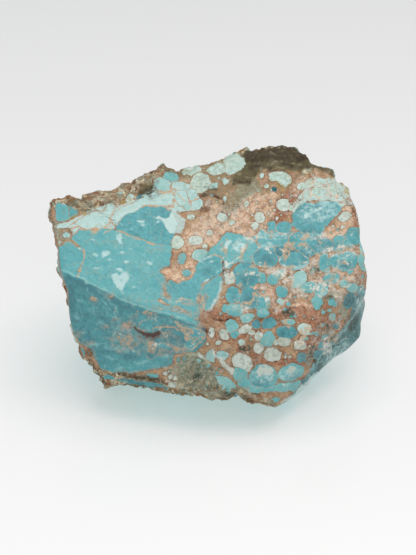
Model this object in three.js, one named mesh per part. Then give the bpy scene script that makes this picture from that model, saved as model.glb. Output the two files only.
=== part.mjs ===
// A raw turquoise nugget: one solid stone, broken on every side, that rests on a flat patch of its
// underside. Millimetres, +Z up, broken face towards -Y, origin on the resting surface under the middle of
// the stone.
//
// The stone is described around its core, a point inside it, in a frame that leans back by leanAngle, so
// that its broken front is met squarely: across = to the right, rise = up and away, depth = away and down.
// For each direction from the core the surface lies at the nearest of: the outline's wall, the broken
// faces, the hollows and the underside. Lumps, ledges and pits are then added along the same direction.
import * as THREE from "three";

const leanAngle = THREE.MathUtils.degToRad(35);
const core = { x: 0.008, y: -1.28, z: 21.6 };

// The outline as [across, rise], anticlockwise from the right-hand side.
const outline = [
  [30.0, -1.2], [30.0, 4.1], [29.2, 7.4], [28.9, 12.3], [27.6, 15.8], [27.5, 17.7], [24.5, 18.8],
  [23.2, 20.6], [21.2, 21.4], [19.0, 22.0], [17.7, 23.4], [16.8, 24.3], [13.5, 25.7], [9.5, 23.5],
  [7.2, 24.1], [4.9, 23.6], [2.6, 22.6], [-1.3, 21.2], [-3.4, 20.7], [-5.0, 20.3], [-7.1, 21.1],
  [-9.5, 22.1], [-12.1, 19.6], [-14.0, 18.0], [-17.5, 16.2], [-19.7, 16.4], [-23.1, 16.2], [-23.7, 15.1],
  [-24.9, 15.7], [-27.4, 15.5], [-29.4, 14.5], [-30.0, 12.7], [-29.2, 10.4], [-28.4, 5.7], [-28.2, 1.9],
  [-26.7, -2.0], [-26.1, -5.5], [-25.3, -9.3], [-24.1, -12.4], [-23.2, -15.1], [-20.3, -17.2],
  [-19.1, -20.1], [-16.1, -19.1], [-13.7, -19.3], [-10.7, -20.0], [-8.6, -20.1], [-3.0, -20.8],
  [-1.3, -21.0], [1.4, -21.6], [3.7, -21.8], [5.6, -21.0], [7.7, -22.6], [9.1, -22.7], [11.7, -23.6],
  [13.7, -23.7], [16.5, -22.1], [21.2, -18.2], [24.7, -14.8], [28.4, -12.4], [29.9, -11.3], [29.7, -8.5],
  [30.4, -4.7],
];
// The outline's wall reaches this far from the core towards the front and the back.
const wall = { frontReach: 22, backReach: 25, squareness: 3.5, soft: 1.2 };

// Broken faces: the plane depth = at + across * slopeAcross + rise * slopeRise, its edge eased over soft.
const faces = {
  "bright upper face": { at: -10.5, slopeAcross: 0.0, slopeRise: 0.4, soft: 0.5 },
  "shaded lower left face": { at: -18.3, slopeAcross: -0.327, slopeRise: -0.45, soft: 0.4 },
  "right face": { at: -12.15, slopeAcross: 0.16, slopeRise: 0.15, soft: 3.0 },
  "lower right face": { at: -15.8, slopeAcross: 0.12, slopeRise: -0.28, soft: 2.5 },
  "right-hand bevel": { at: -47.0, slopeAcross: 1.42, slopeRise: -0.93, soft: 0.9 },
  "undercut along the foot": { at: -37.4, slopeAcross: -0.29, slopeRise: -1.5, soft: 1.0 },
  "top break on the left": { at: -27.0, slopeAcross: -0.28, slopeRise: 1.35, soft: 0.9 },
  "upper back": { at: 15.0, slopeAcross: 0.1, slopeRise: -0.3, soft: 1.5 },
  "left back": { at: 19.5, slopeAcross: 0.5, slopeRise: 0.1, soft: 1.2 },
  "right back": { at: 20.5, slopeAcross: -0.45, slopeRise: 0.12, soft: 1.2 },
  "lower back": { at: 21.5, slopeAcross: 0.05, slopeRise: 0.35, soft: 1.5 },
};
const restingFace = { at: core.z / Math.sin(leanAngle), slopeAcross: 0, slopeRise: 1 / Math.tan(leanAngle) };

// Shell-like hollows: balls taken out of the surface, their centre as [across, rise, depth].
const hollows = {
  "gully under the top crust": { centre: [4.5, 15.5, -15.6], radius: 10.0 },
  "shallow dish in the lower left face": { centre: [-19.5, -14.0, -32.5], radius: 22.0 },
  "grey pocket at the foot": { centre: [-2.0, -18.5, -17.5], radius: 9.0 },
  "chip at the right shoulder": { centre: [30.5, 21.0, -12.0], radius: 8.5 },
  "dish in the back": { centre: [-8.0, 6.0, 38.5], radius: 25.0 },
  "bite in the right back": { centre: [25.0, 2.0, 24.0], radius: 11.0 },
};
const hollowSoft = 0.8;

// The crust of host rock lies above upperEdge, below lowerEdge and behind backEdge. The first two give the
// rise and the last the depth at which it begins, all read by across. Its border wanders by ragged.
const crust = {
  upperEdge: [
    [-30, 14.0], [-22, 12.6], [-17, 14.2], [-11, 16.2], [-8, 19.0], [0, 20.5], [7, 20.8], [19, 20.5],
    [24, 19.6], [30, 18.0],
  ],
  lowerEdge: [[-30, -14.0], [-20, -17.0], [-10, -18.2], [0, -18.8], [8, -20.3], [14, -24.0], [30, -30.0]],
  backEdge: [[-20, 4.0], [10, 4.5], [20, 9.0], [30, 14.0]],
  ragged: { height: 0.9, size: 3.0, seed: 40 },
  fade: 1.2,
  stands: 0.4,
};

// The veined ground to the right of edge, read as [rise, across], is flakier than the clean turquoise.
const ground = {
  edge: [[-24, -8.0], [-9, -3.0], [0, 2.5], [5, -2.0], [9, -8.0], [16, -3.0], [24, -8.0]],
  fade: 3.0,
};

// Relief: height and size of each kind of unevenness. Lumps and grain belong to the crust, flakes to the
// ground.
const swell = { height: 0.35, size: 9.0, seed: 0 };
const lumps = { height: 1.3, size: 3.4, seed: 11, level: 0.5 };
const grain = { height: 0.4, size: 1.7, seed: 23 };
const flakes = { height: 0.8, size: 5.2, seed: 57, level: 0.4 };
const topKnob = { centre: [13.0, 23.0, 0.0], spread: [6.0, 2.6, 5.0], height: 0.8 };

// Grid cells along the stone's three sides. More across and up than through it, because it is a slab.
const cells = { across: 36, rise: 30, depth: 14 };
const outlineHalf = { across: 30, rise: 24 };
const squareBow = 0.3;
const restingTolerance = 1e-4;

// A repeatable number from -1 to 1 for a lattice point.
function latticeValue(i, j, k) {
  let mixed = Math.imul(i, 374761393) + Math.imul(j, 668265263) + Math.imul(k, 1274126177);
  mixed = Math.imul(mixed ^ (mixed >>> 13), 1103515245);
  return ((mixed ^ (mixed >>> 16)) >>> 0) / 2147483647.5 - 1;
}

// Smooth noise: lattice values blended with an eased weight along each axis, times height where one is
// given.
function noise(point, { size, seed, height = 1 }) {
  const scaled = point.map((value) => value / size);
  const cell = scaled.map(Math.floor);
  const ease = scaled.map((value, axis) => THREE.MathUtils.smootherstep(value - cell[axis], 0, 1));
  let sum = 0;
  for (let corner = 0; corner < 8; corner += 1) {
    const step = [corner & 1, (corner >> 1) & 1, corner >> 2];
    const weight = step.reduce((product, on, axis) => product * (on ? ease[axis] : 1 - ease[axis]), 1);
    sum += weight * latticeValue(cell[0] + step[0] + seed, cell[1] + step[1], cell[2] + step[2]);
  }
  return height * sum;
}

// The lower of two distances, the crease between them eased over soft.
function smoothMin(a, b, soft) {
  const overlap = Math.max(soft - Math.abs(a - b), 0) / soft;
  return Math.min(a, b) - (overlap * overlap * soft) / 4;
}

// The value at x of the line through the points [x, y], level beyond its ends.
function along(points, x) {
  if (x <= points[0][0]) return points[0][1];
  const end = points.findIndex((point) => point[0] >= x);
  if (end < 0) return points[points.length - 1][1];
  const [x0, y0] = points[end - 1];
  const [x1, y1] = points[end];
  return y0 + ((y1 - y0) * (x - x0)) / (x1 - x0);
}

// The outline's distance from the core as [angle, distance], sorted and repeated by a turn at both ends.
const turn = 2 * Math.PI;
const outlineByAngle = outline
  .map(([across, rise]) => [Math.atan2(rise, across), Math.hypot(across, rise)])
  .flatMap(([angle, reach]) => [[angle - turn, reach], [angle, reach], [angle + turn, reach]])
  .sort((a, b) => a[0] - b[0]);

// Where the ray from the core along aim = [across, rise, depth] leaves the wall, the faces and the
// hollows.
function reachOfShape(aim) {
  const [across, rise, depth] = aim;
  let broken = Infinity;
  for (const face of Object.values(faces)) {
    const closing = depth - across * face.slopeAcross - rise * face.slopeRise;
    if (closing * face.at > 0) broken = smoothMin(broken, face.at / closing, face.soft);
  }
  const sideways = Math.hypot(across, rise) / along(outlineByAngle, Math.atan2(rise, across));
  const through = Math.abs(depth) / (depth < 0 ? wall.frontReach : wall.backReach);
  const outer = (sideways ** wall.squareness + through ** wall.squareness) ** (-1 / wall.squareness);
  let reach = smoothMin(outer, broken, wall.soft);
  for (const { centre, radius } of Object.values(hollows)) {
    const nearest = across * centre[0] + rise * centre[1] + depth * centre[2];
    const inside = nearest ** 2 - centre[0] ** 2 - centre[1] ** 2 - centre[2] ** 2 + radius ** 2;
    if (inside > 0 && nearest > 0) reach = smoothMin(reach, nearest - Math.sqrt(inside), hollowSoft);
  }
  return reach;
}

// 1 on the crust of host rock, 0 on clean turquoise.
function crustAt(point) {
  const [across, rise, depth] = point;
  const above = rise - along(crust.upperEdge, across);
  const below = along(crust.lowerEdge, across) - rise;
  const behind = depth - along(crust.backEdge, across);
  const inside = Math.max(above, below, behind) + noise(point, crust.ragged);
  return THREE.MathUtils.smoothstep(inside, -crust.fade / 2, crust.fade / 2);
}

// How far the surface stands out from the plain shape at a point of it.
function reliefAt(point) {
  const crusty = crustAt(point);
  const beyondEdge = point[0] - along(ground.edge, point[1]);
  const flaky = THREE.MathUtils.smoothstep(beyondEdge, 0, ground.fade) * (1 - crusty);
  const lump = lumps.height * lumps.level - Math.abs(noise(point, lumps));
  const flake = Math.abs(noise(point, flakes)) - flakes.height * flakes.level;
  const off = point.map((value, axis) => (value - topKnob.centre[axis]) / topKnob.spread[axis]);
  const knob = topKnob.height * Math.exp(-(off[0] ** 2 + off[1] ** 2 + off[2] ** 2));
  return noise(point, swell) + crusty * (crust.stands + lump + noise(point, grain)) + flaky * flake + knob;
}

// From the leaning frame to the stone's own frame, core at the origin.
const toUpright = new THREE.Matrix4().makeRotationX(-leanAngle);
function upright([across, rise, depth]) {
  return new THREE.Vector3(across, depth, rise).applyMatrix4(toUpright);
}

// The surface point that lies from the core along aim, cut off flat at the resting surface.
function surfacePoint(aim) {
  const plain = reachOfShape(aim);
  const reach = plain + reliefAt(aim.map((value) => value * plain));
  const place = upright(aim.map((value) => value * reach));
  if (core.z + place.z < 0) place.multiplyScalar(-core.z / place.z);
  place.add(core);
  if (place.z < restingTolerance) place.z = 0;
  return place;
}

// The point of the plain shape for a point of a box from -1 to 1. x and y fill the outline, as a square
// whose sides are bowed out by squareBow, and z runs from the back faces to the front ones, so that the
// grid's edges lie along the stone's own.
function guidePoint(x, y, z) {
  const u = x * Math.sqrt(1 - squareBow * y * y);
  const v = y * Math.sqrt(1 - squareBow * x * x);
  const longer = Math.max(Math.abs(u), Math.abs(v));
  const shorter = Math.min(Math.abs(u), Math.abs(v));
  const level = Math.sqrt(longer ** 2 + (squareBow / (1 - squareBow)) * shorter ** 2);
  const angle = Math.atan2(v * outlineHalf.rise, u * outlineHalf.across);
  const reach = level * along(outlineByAngle, angle);
  const across = reach * Math.cos(angle);
  const rise = reach * Math.sin(angle);
  const planes = Object.values(faces).concat(restingFace);
  const depthsOn = (side) => side.map((face) => face.at + across * face.slopeAcross + rise * face.slopeRise);
  const front = Math.max(...depthsOn(planes.filter((face) => face.at < 0)));
  const back = Math.min(...depthsOn(planes.filter((face) => face.at > 0)));
  return new THREE.Vector3(across, rise, THREE.MathUtils.lerp(back, front, (z + 1) / 2));
}

// Splits each cell of the grid, held as the triangles a b d and b c d, along the shorter of its two
// diagonals.
function splitShorter(index, position) {
  const at = (vertex) => new THREE.Vector3().fromBufferAttribute(position, vertex);
  for (let first = 0; first < index.count; first += 6) {
    const [a, b, d, , c] = index.array.slice(first, first + 6);
    if (at(a).distanceTo(at(c)) < at(b).distanceTo(at(d))) index.array.set([a, b, c, a, c, d], first);
  }
}

// A box grid wrapped on the stone: each grid point of the box's six sides is one direction from the core.
function stoneGeometry() {
  const box = new THREE.BoxGeometry(2, 2, 2, cells.across, cells.rise, cells.depth);
  const position = box.getAttribute("position");
  for (let i = 0; i < position.count; i += 1) {
    const aim = guidePoint(position.getX(i), position.getY(i), position.getZ(i)).normalize();
    const place = surfacePoint(aim.toArray());
    position.setXYZ(i, place.x, place.y, place.z);
  }
  splitShorter(box.getIndex(), position);
  box.deleteAttribute("uv");
  box.computeVertexNormals();
  return box;
}

const turquoise = new THREE.MeshStandardMaterial({ color: 0x64a7ad, roughness: 0.55, metalness: 0 });
const stone = new THREE.Mesh(stoneGeometry(), turquoise);
stone.name = "turquoise_stone";

const nugget = new THREE.Group();
nugget.add(stone);

export default nugget;
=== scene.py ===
import math

import bpy
import numpy as np
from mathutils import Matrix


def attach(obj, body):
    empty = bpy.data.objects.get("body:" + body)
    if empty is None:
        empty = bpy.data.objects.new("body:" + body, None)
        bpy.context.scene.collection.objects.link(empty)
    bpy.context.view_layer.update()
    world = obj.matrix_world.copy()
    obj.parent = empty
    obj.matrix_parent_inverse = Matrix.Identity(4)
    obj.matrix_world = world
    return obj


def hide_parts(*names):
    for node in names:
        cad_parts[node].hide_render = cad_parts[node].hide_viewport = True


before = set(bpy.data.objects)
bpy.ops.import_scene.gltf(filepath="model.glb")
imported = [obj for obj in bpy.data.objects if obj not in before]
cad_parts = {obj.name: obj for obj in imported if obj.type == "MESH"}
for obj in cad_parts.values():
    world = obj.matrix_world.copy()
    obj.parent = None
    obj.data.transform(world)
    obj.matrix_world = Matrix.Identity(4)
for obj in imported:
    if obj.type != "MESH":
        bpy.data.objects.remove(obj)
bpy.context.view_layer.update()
print("frame loaded")

# The stone is worked out in millimetres in a frame that leans back by the camera's angle: across = to the
# right, rise = up the picture, depth = away from the camera. Pixels are those of the picture.
camera = {
    "lean": 35.0,  # degrees above the horizon
    "distance": 450.0,
    "middle": (0.19, 0.475),  # across and rise of the picture's middle
    "sharpDepth": -4.0,  # the depth at which a pixel is pixelSize
    "pixelSize": 0.19,
    "picture": (416, 555),  # how many pixels wide and high
    "sensor": 36.0,
    "clip": (0.01, 10.0),
}

stone = {
    "core": (0.008, -1.28, 21.6),  # x, y, z of the point that the shape is drawn around
    "cells": (180, 150, 60),  # the mesh's cells across, up and through
    "outlineHalf": (30.0, 24.0),
    "squareBow": 0.3,
    "outline": [
        (30.0, -1.2), (30.0, 4.1), (29.2, 7.4), (28.9, 12.3), (27.6, 15.8), (27.5, 17.7), (24.5, 18.8),
        (23.2, 20.6), (21.2, 21.4), (19.0, 22.0), (17.7, 23.4), (16.8, 24.3), (13.5, 25.7), (9.5, 23.5),
        (7.2, 24.1), (4.9, 23.6), (2.6, 22.6), (-1.3, 21.2), (-3.4, 20.7), (-5.0, 20.3), (-7.1, 21.1),
        (-9.5, 22.1), (-12.1, 19.6), (-14.0, 18.0), (-17.5, 16.2), (-19.7, 16.4), (-23.1, 16.2),
        (-23.7, 15.1), (-24.9, 15.7), (-27.4, 15.5), (-29.4, 14.5), (-30.0, 12.7), (-29.2, 10.4),
        (-28.4, 5.7), (-28.2, 1.9), (-26.7, -2.0), (-26.1, -5.5), (-25.3, -9.3), (-24.1, -12.4),
        (-23.2, -15.1), (-20.3, -17.2), (-19.1, -20.1), (-16.1, -19.1), (-13.7, -19.3), (-10.7, -20.0),
        (-8.6, -20.1), (-3.0, -20.8), (-1.3, -21.0), (1.4, -21.6), (3.7, -21.8), (5.6, -21.0), (7.7, -22.6),
        (9.1, -22.7), (11.7, -23.6), (13.7, -23.7), (16.5, -22.1), (21.2, -18.2), (24.7, -14.8),
        (28.4, -12.4), (29.9, -11.3), (29.7, -8.5), (30.4, -4.7),
    ],
    "wall": {"front": 22.0, "back": 25.0, "squareness": 3.5, "soft": 1.2},
    # Broken faces as (at, slopeAcross, slopeRise, soft): depth = at + across * slopeAcross + rise *
    # slopeRise.
    "faces": {
        "bright upper face": (-10.5, 0.0, 0.4, 0.5),
        "shaded lower left face": (-18.3, -0.327, -0.45, 0.4),
        "right face": (-12.15, 0.16, 0.15, 3.0),
        "lower right face": (-15.8, 0.12, -0.28, 2.5),
        "right-hand bevel": (-47.0, 1.42, -0.93, 0.9),
        "undercut along the foot": (-37.4, -0.29, -1.5, 1.0),
        "top break on the left": (-27.0, -0.28, 1.35, 0.9),
        "upper back": (15.0, 0.1, -0.3, 1.5),
        "left back": (19.5, 0.5, 0.1, 1.2),
        "right back": (20.5, -0.45, 0.12, 1.2),
        "lower back": (21.5, 0.05, 0.35, 1.5),
    },
    # Shell-like hollows as (across, rise, depth, radius) of a ball taken out.
    "hollows": {
        "gully under the top crust": (4.5, 15.5, -15.6, 10.0),
        "dish in the lower left face": (-19.5, -14.0, -32.5, 22.0),
        "grey pocket at the foot": (-2.0, -18.5, -17.5, 9.0),
        "chip at the right shoulder": (30.5, 21.0, -12.0, 8.5),
        "dish in the back": (-8.0, 6.0, 38.5, 25.0),
        "bite in the right back": (25.0, 2.0, 24.0, 11.0),
    },
    "hollowSoft": 0.8,
    # The crust's edges as (across, rise), behind as (across, depth), how soft they are, and the height and
    # size of the noise that makes them ragged.
    "upperEdge": [
        (-30, 14.0), (-22, 12.6), (-17, 14.2), (-11, 16.2), (-8, 19.0), (0, 20.5), (7, 20.8), (19, 20.5),
        (24, 19.6), (30, 18.0),
    ],
    "lowerEdge": [
        (-30, -14.0), (-20, -17.0), (-10, -18.2), (0, -18.8), (8, -20.3), (14, -24.0), (30, -30.0),
    ],
    "backEdge": [(-20, 4.0), (10, 4.5), (20, 9.0), (30, 14.0)],
    "crustFade": 1.2,
    "crustRagged": (0.9, 3.0),
    # Relief as (height, size). The rougher ground begins to the right of its edge, given as (across, rise).
    "groundEdge": [(-24, -8.0), (-9, -3.0), (0, 2.5), (5, -2.0), (9, -8.0), (16, -3.0), (24, -8.0)],
    "groundFade": 3.0,
    "swell": (0.35, 9.0),
    "lump": (1.3, 3.4),
    "lumpMiddle": 0.5,
    "grain": (0.4, 1.7),
    "flake": (0.8, 5.2),
    "flakeMiddle": 0.4,
    "crustStands": 0.4,
    "knob": {"centre": (13.0, 23.0, 0.0), "spread": (6.0, 2.6, 5.0), "height": 0.8},
    # Relief finer than the solid's: on the crust, in the ground between nodules, and in the veins.
    "crustGrit": (0.34, 0.95),
    "groundPits": (0.16, 0.8),
    "groundSinks": 0.12,
    "veinDepth": 0.07,
    "crackDepth": 0.35,
}

# Where each noise starts, so that no two are alike.
seeds = {
    "swell": 0, "lump": 11, "grain": 23, "flake": 57, "crustEdge": 40, "pits": 91, "grit": 93,
    "warpAcross": 71, "warpDown": 75, "finerBy": 31,
}
stepI, stepJ, stepK, fold = 374761393, 668265263, 1274126177, 1103515245  # large odd numbers that scramble
farAway = 1e6  # stands for a face that is never met
tiny = 1e-9  # keeps a division by nothing away


# A repeatable number from -1 to 1 for each lattice point, by multiplying and folding 32-bit whole numbers.
def latticeValue(i, j, k):
    whole = 0xFFFFFFFF
    mixed = (i * stepI + j * stepJ + k * stepK) & whole
    mixed = ((mixed ^ (mixed >> 13)) * fold) & whole
    return (mixed ^ (mixed >> 16)) / 2147483647.5 - 1


# Smooth noise: the eight lattice values round a point, blended along each axis by 6t^5 - 15t^4 + 10t^3.
def noise(points, size, seed):
    scaled = points / size
    cell = np.floor(scaled).astype(np.int64)
    t = scaled - cell
    ease = t * t * t * (t * (t * 6 - 15) + 10)
    total = np.zeros(len(points))
    for corner in range(8):
        step = np.array([corner & 1, corner >> 1 & 1, corner >> 2])
        weight = np.where(step, ease, 1 - ease).prod(axis=1)
        i, j, k = (cell + step).T
        total += weight * latticeValue(i + seed, j, k)
    return total


# Noise with a finer one over it, half as high and half as wide.
def roughNoise(points, size, seed):
    return noise(points, size, seed) + noise(points, size / 2, seed + seeds["finerBy"]) / 2


# 0 below low, 1 above high, and 3t^2 - 2t^3 between.
def smoothstep(x, low, high):
    t = np.clip((x - low) / (high - low), 0, 1)
    return t * t * (3 - 2 * t)


# The lower of a and b, with the crease between them eased over soft: min - overlap^2 * soft / 4.
def smoothMin(a, b, soft):
    overlap = np.maximum(soft - np.abs(a - b), 0) / soft
    return np.minimum(a, b) - overlap ** 2 * soft / 4


# How far the outline is from the core at each angle: the drawn points' distances, joined by straight lines.
def outlineReach(angle):
    across, rise = np.array(stone["outline"]).T
    angles = np.arctan2(rise, across)
    order = np.argsort(angles)
    return np.interp(angle, angles[order], np.hypot(across, rise)[order], period=2 * math.pi)


# Distance from the core along each unit direction to the plain shape. The outline's wall is the superellipse
# (sideways^n + through^n)^(-1/n), a face is at / (depth - across * slopeAcross - rise * slopeRise), and a
# hollow is the near crossing of its ball. The nearest of them wins, with eased creases.
def reachOfShape(aim):
    across, rise, depth = aim.T
    broken = np.full(len(aim), farAway)
    for at, slopeAcross, slopeRise, soft in stone["faces"].values():
        closing = depth - across * slopeAcross - rise * slopeRise
        meets = closing * at > 0
        there = np.where(meets, at / np.where(meets, closing, 1), farAway)
        broken = smoothMin(broken, there, soft)
    wall = stone["wall"]
    n = wall["squareness"]
    sideways = np.hypot(across, rise) / outlineReach(np.arctan2(rise, across))
    through = np.abs(depth) / np.where(depth < 0, wall["front"], wall["back"])
    reach = smoothMin((sideways ** n + through ** n) ** (-1 / n), broken, wall["soft"])
    for x, y, z, radius in stone["hollows"].values():
        nearest = aim @ np.array([x, y, z])
        inside = nearest ** 2 - x * x - y * y - z * z + radius ** 2
        meets = (inside > 0) & (nearest > 0)
        there = np.where(meets, nearest - np.sqrt(np.maximum(inside, 0)), farAway)
        reach = smoothMin(reach, there, stone["hollowSoft"])
    return reach


# 1 on the crust of host rock, 0 on the clean broken stone: how far a point is past the nearest of the crust's
# edges, made ragged by noise and eased over crustFade.
def crustAt(points):
    across, rise, depth = points.T
    above = rise - np.interp(across, *np.array(stone["upperEdge"]).T)
    below = np.interp(across, *np.array(stone["lowerEdge"]).T) - rise
    behind = depth - np.interp(across, *np.array(stone["backEdge"]).T)
    ragged, size = stone["crustRagged"]
    inside = np.maximum(np.maximum(above, below), behind) + ragged * noise(points, size, seeds["crustEdge"])
    return smoothstep(inside, -stone["crustFade"] / 2, stone["crustFade"] / 2)


# The solid's relief: swell + crust * (stands + lump + grain) + ground * flake + knob. Lumps and flakes are
# noise folded at its middle, as lump * (middle - |noise|) and flake * (|noise| - middle).
def reliefAt(points, crust):
    swell, swellSize = stone["swell"]
    lump, lumpSize = stone["lump"]
    grain, grainSize = stone["grain"]
    flake, flakeSize = stone["flake"]
    edge = np.interp(points[:, 1], *np.array(stone["groundEdge"]).T)
    ground = smoothstep(points[:, 0] - edge, 0, stone["groundFade"]) * (1 - crust)
    knob = stone["knob"]
    off = (points - knob["centre"]) / knob["spread"]
    bump = knob["height"] * np.exp(-(off ** 2).sum(axis=1))
    lumps = lump * (stone["lumpMiddle"] - np.abs(noise(points, lumpSize, seeds["lump"])))
    lumps = lumps + grain * noise(points, grainSize, seeds["grain"])
    flakes = flake * (np.abs(noise(points, flakeSize, seeds["flake"])) - stone["flakeMiddle"])
    swells = swell * noise(points, swellSize, seeds["swell"])
    return swells + crust * (stone["crustStands"] + lumps) + ground * flakes + bump


# The grid of a box from -1 to 1 as points and four-cornered faces that point out, its edges welded.
def boxGrid(cells):
    counts = np.array(cells)
    step = np.array([1, counts[0] + 1, (counts[0] + 1) * (counts[1] + 1)])
    sides = []
    for a, b, c in ((0, 1, 2), (1, 2, 0), (2, 0, 1)):
        u, v = np.meshgrid(np.arange(counts[a]), np.arange(counts[b]), indexing="ij")
        first = (u * step[a] + v * step[b]).ravel()
        corners = np.stack([first, first + step[a], first + step[a] + step[b], first + step[b]], axis=1)
        sides += [corners + counts[c] * step[c], corners[:, ::-1]]
    used, faces = np.unique(np.concatenate(sides), return_inverse=True)
    lattice = np.stack([used % step[1], used // step[1] % (counts[1] + 1), used // step[2]], axis=1)
    return lattice / counts * 2 - 1, faces.reshape(-1, 4)


# The plain shape's point for each box point: x and y fill the outline as a square with bowed sides, and z
# runs from the back faces to the front ones.
def guidePoints(box):
    x, y, z = box.T
    bow = stone["squareBow"]
    u = x * np.sqrt(1 - bow * y * y)
    v = y * np.sqrt(1 - bow * x * x)
    longer, shorter = np.maximum(abs(u), abs(v)), np.minimum(abs(u), abs(v))
    level = np.sqrt(longer ** 2 + bow / (1 - bow) * shorter ** 2)
    halfAcross, halfRise = stone["outlineHalf"]
    angle = np.arctan2(v * halfRise, u * halfAcross)
    reach = level * outlineReach(angle)
    across, rise = reach * np.cos(angle), reach * np.sin(angle)
    lean = math.radians(camera["lean"])
    planes = [face[:3] for face in stone["faces"].values()]
    planes.append((stone["core"][2] / math.sin(lean), 0, 1 / math.tan(lean)))  # the resting surface
    depths = [(at, at + across * slopeAcross + rise * slopeRise) for at, slopeAcross, slopeRise in planes]
    front = np.max([depth for at, depth in depths if at < 0], axis=0)
    back = np.min([depth for at, depth in depths if at > 0], axis=0)
    return np.stack([across, rise, back + (front - back) * (z + 1) / 2], axis=1)


# From the leaning frame to the row frame, in millimetres from the core: y = depth cos + rise sin,
# z = rise cos - depth sin.
def upright(points):
    lean = math.radians(camera["lean"])
    across, rise, depth = points.T
    y = depth * math.cos(lean) + rise * math.sin(lean)
    z = rise * math.cos(lean) - depth * math.sin(lean)
    return np.stack([across, y, z], axis=1)


# Where the camera sees each point of the leaning frame, in pixels of the picture.
def pictureOf(points):
    across, rise, depth = points.T
    size = camera["pixelSize"]
    near = (camera["distance"] + camera["sharpDepth"]) / (camera["distance"] + depth)
    px = camera["picture"][0] / 2 + (across - camera["middle"][0]) / size * near
    py = camera["picture"][1] / 2 - (rise - camera["middle"][1]) / size * near
    return px, py


# Each vertex's normal: the sum of the crossed diagonals of the faces round it, made one long. They are
# crossed the other way round because the leaning frame is a mirrored one.
def vertexNormals(points, faces):
    a, b, c, d = (points[faces[:, n]] for n in range(4))
    crossed = np.cross(d - b, c - a)
    total = np.zeros_like(points)
    for n in range(4):
        for axis in range(3):
            total[:, axis] += np.bincount(faces[:, n], crossed[:, axis], len(points))
    return total / np.linalg.norm(total, axis=1, keepdims=True)


# Shapes drawn in the picture. A blob is an ellipse by its middle and radii, the first one turned
# anticlockwise from the horizontal. A line is a round-ended stroke, and an area is a closed outline, both
# through points given as x,y pairs.
def blob(x, y, rx, ry=None, turn=0):
    return {"kind": "blob", "x": x, "y": y, "rx": rx, "ry": ry or rx, "turn": turn}


def line(width, *numbers):
    return {"kind": "line", "width": width, "points": np.array(numbers, float).reshape(-1, 2)}


def area(*numbers):
    return {"kind": "area", "points": np.array(numbers, float).reshape(-1, 2)}


# Pixels from each place (px, py) to a shape's edge, positive inside, worked out only where the shape is near
# and -farOff everywhere else.
def insideBy(shape, px, py, farOff=10.0):
    if shape["kind"] == "blob":
        reach = max(shape["rx"], shape["ry"]) + farOff
        near = np.flatnonzero((abs(px - shape["x"]) < reach) & (abs(py - shape["y"]) < reach))
    else:
        low, high = shape["points"].min(axis=0) - farOff, shape["points"].max(axis=0) + farOff
        near = np.flatnonzero((px > low[0]) & (px < high[0]) & (py > low[1]) & (py < high[1]))
    depth = np.full(len(px), -farOff)
    depth[near] = depthInside(shape, px[near], py[near])
    return depth


# The same for places near the shape: (1 - ellipse radius) * the mean radius for a blob, half the width less
# the distance to the nearest stretch for a line, and the distance to the outline, signed by the crossing
# count, for an area.
def depthInside(shape, px, py):
    if shape["kind"] == "blob":
        turn = math.radians(shape["turn"])
        dx, dy = px - shape["x"], py - shape["y"]
        u = (dx * math.cos(turn) - dy * math.sin(turn)) / shape["rx"]
        v = (dx * math.sin(turn) + dy * math.cos(turn)) / shape["ry"]
        return (1 - np.hypot(u, v)) * (shape["rx"] + shape["ry"]) / 2
    points = shape["points"]
    closed = shape["kind"] == "area"
    nearest = np.full(len(px), np.inf)
    inside = np.zeros(len(px), bool)
    ends = np.roll(points, -1, axis=0) if closed else points[1:]
    for (ax, ay), (bx, by) in zip(points, ends):
        ex, ey = bx - ax, by - ay
        along = np.clip(((px - ax) * ex + (py - ay) * ey) / (ex * ex + ey * ey + tiny), 0, 1)
        nearest = np.minimum(nearest, np.hypot(px - ax - along * ex, py - ay - along * ey))
        if closed and ey != 0:
            inside ^= ((ay > py) != (by > py)) & (px < ax + ex * (py - ay) / ey)
    if closed:
        return np.where(inside, nearest, -nearest)
    return shape["width"] / 2 - nearest


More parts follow.
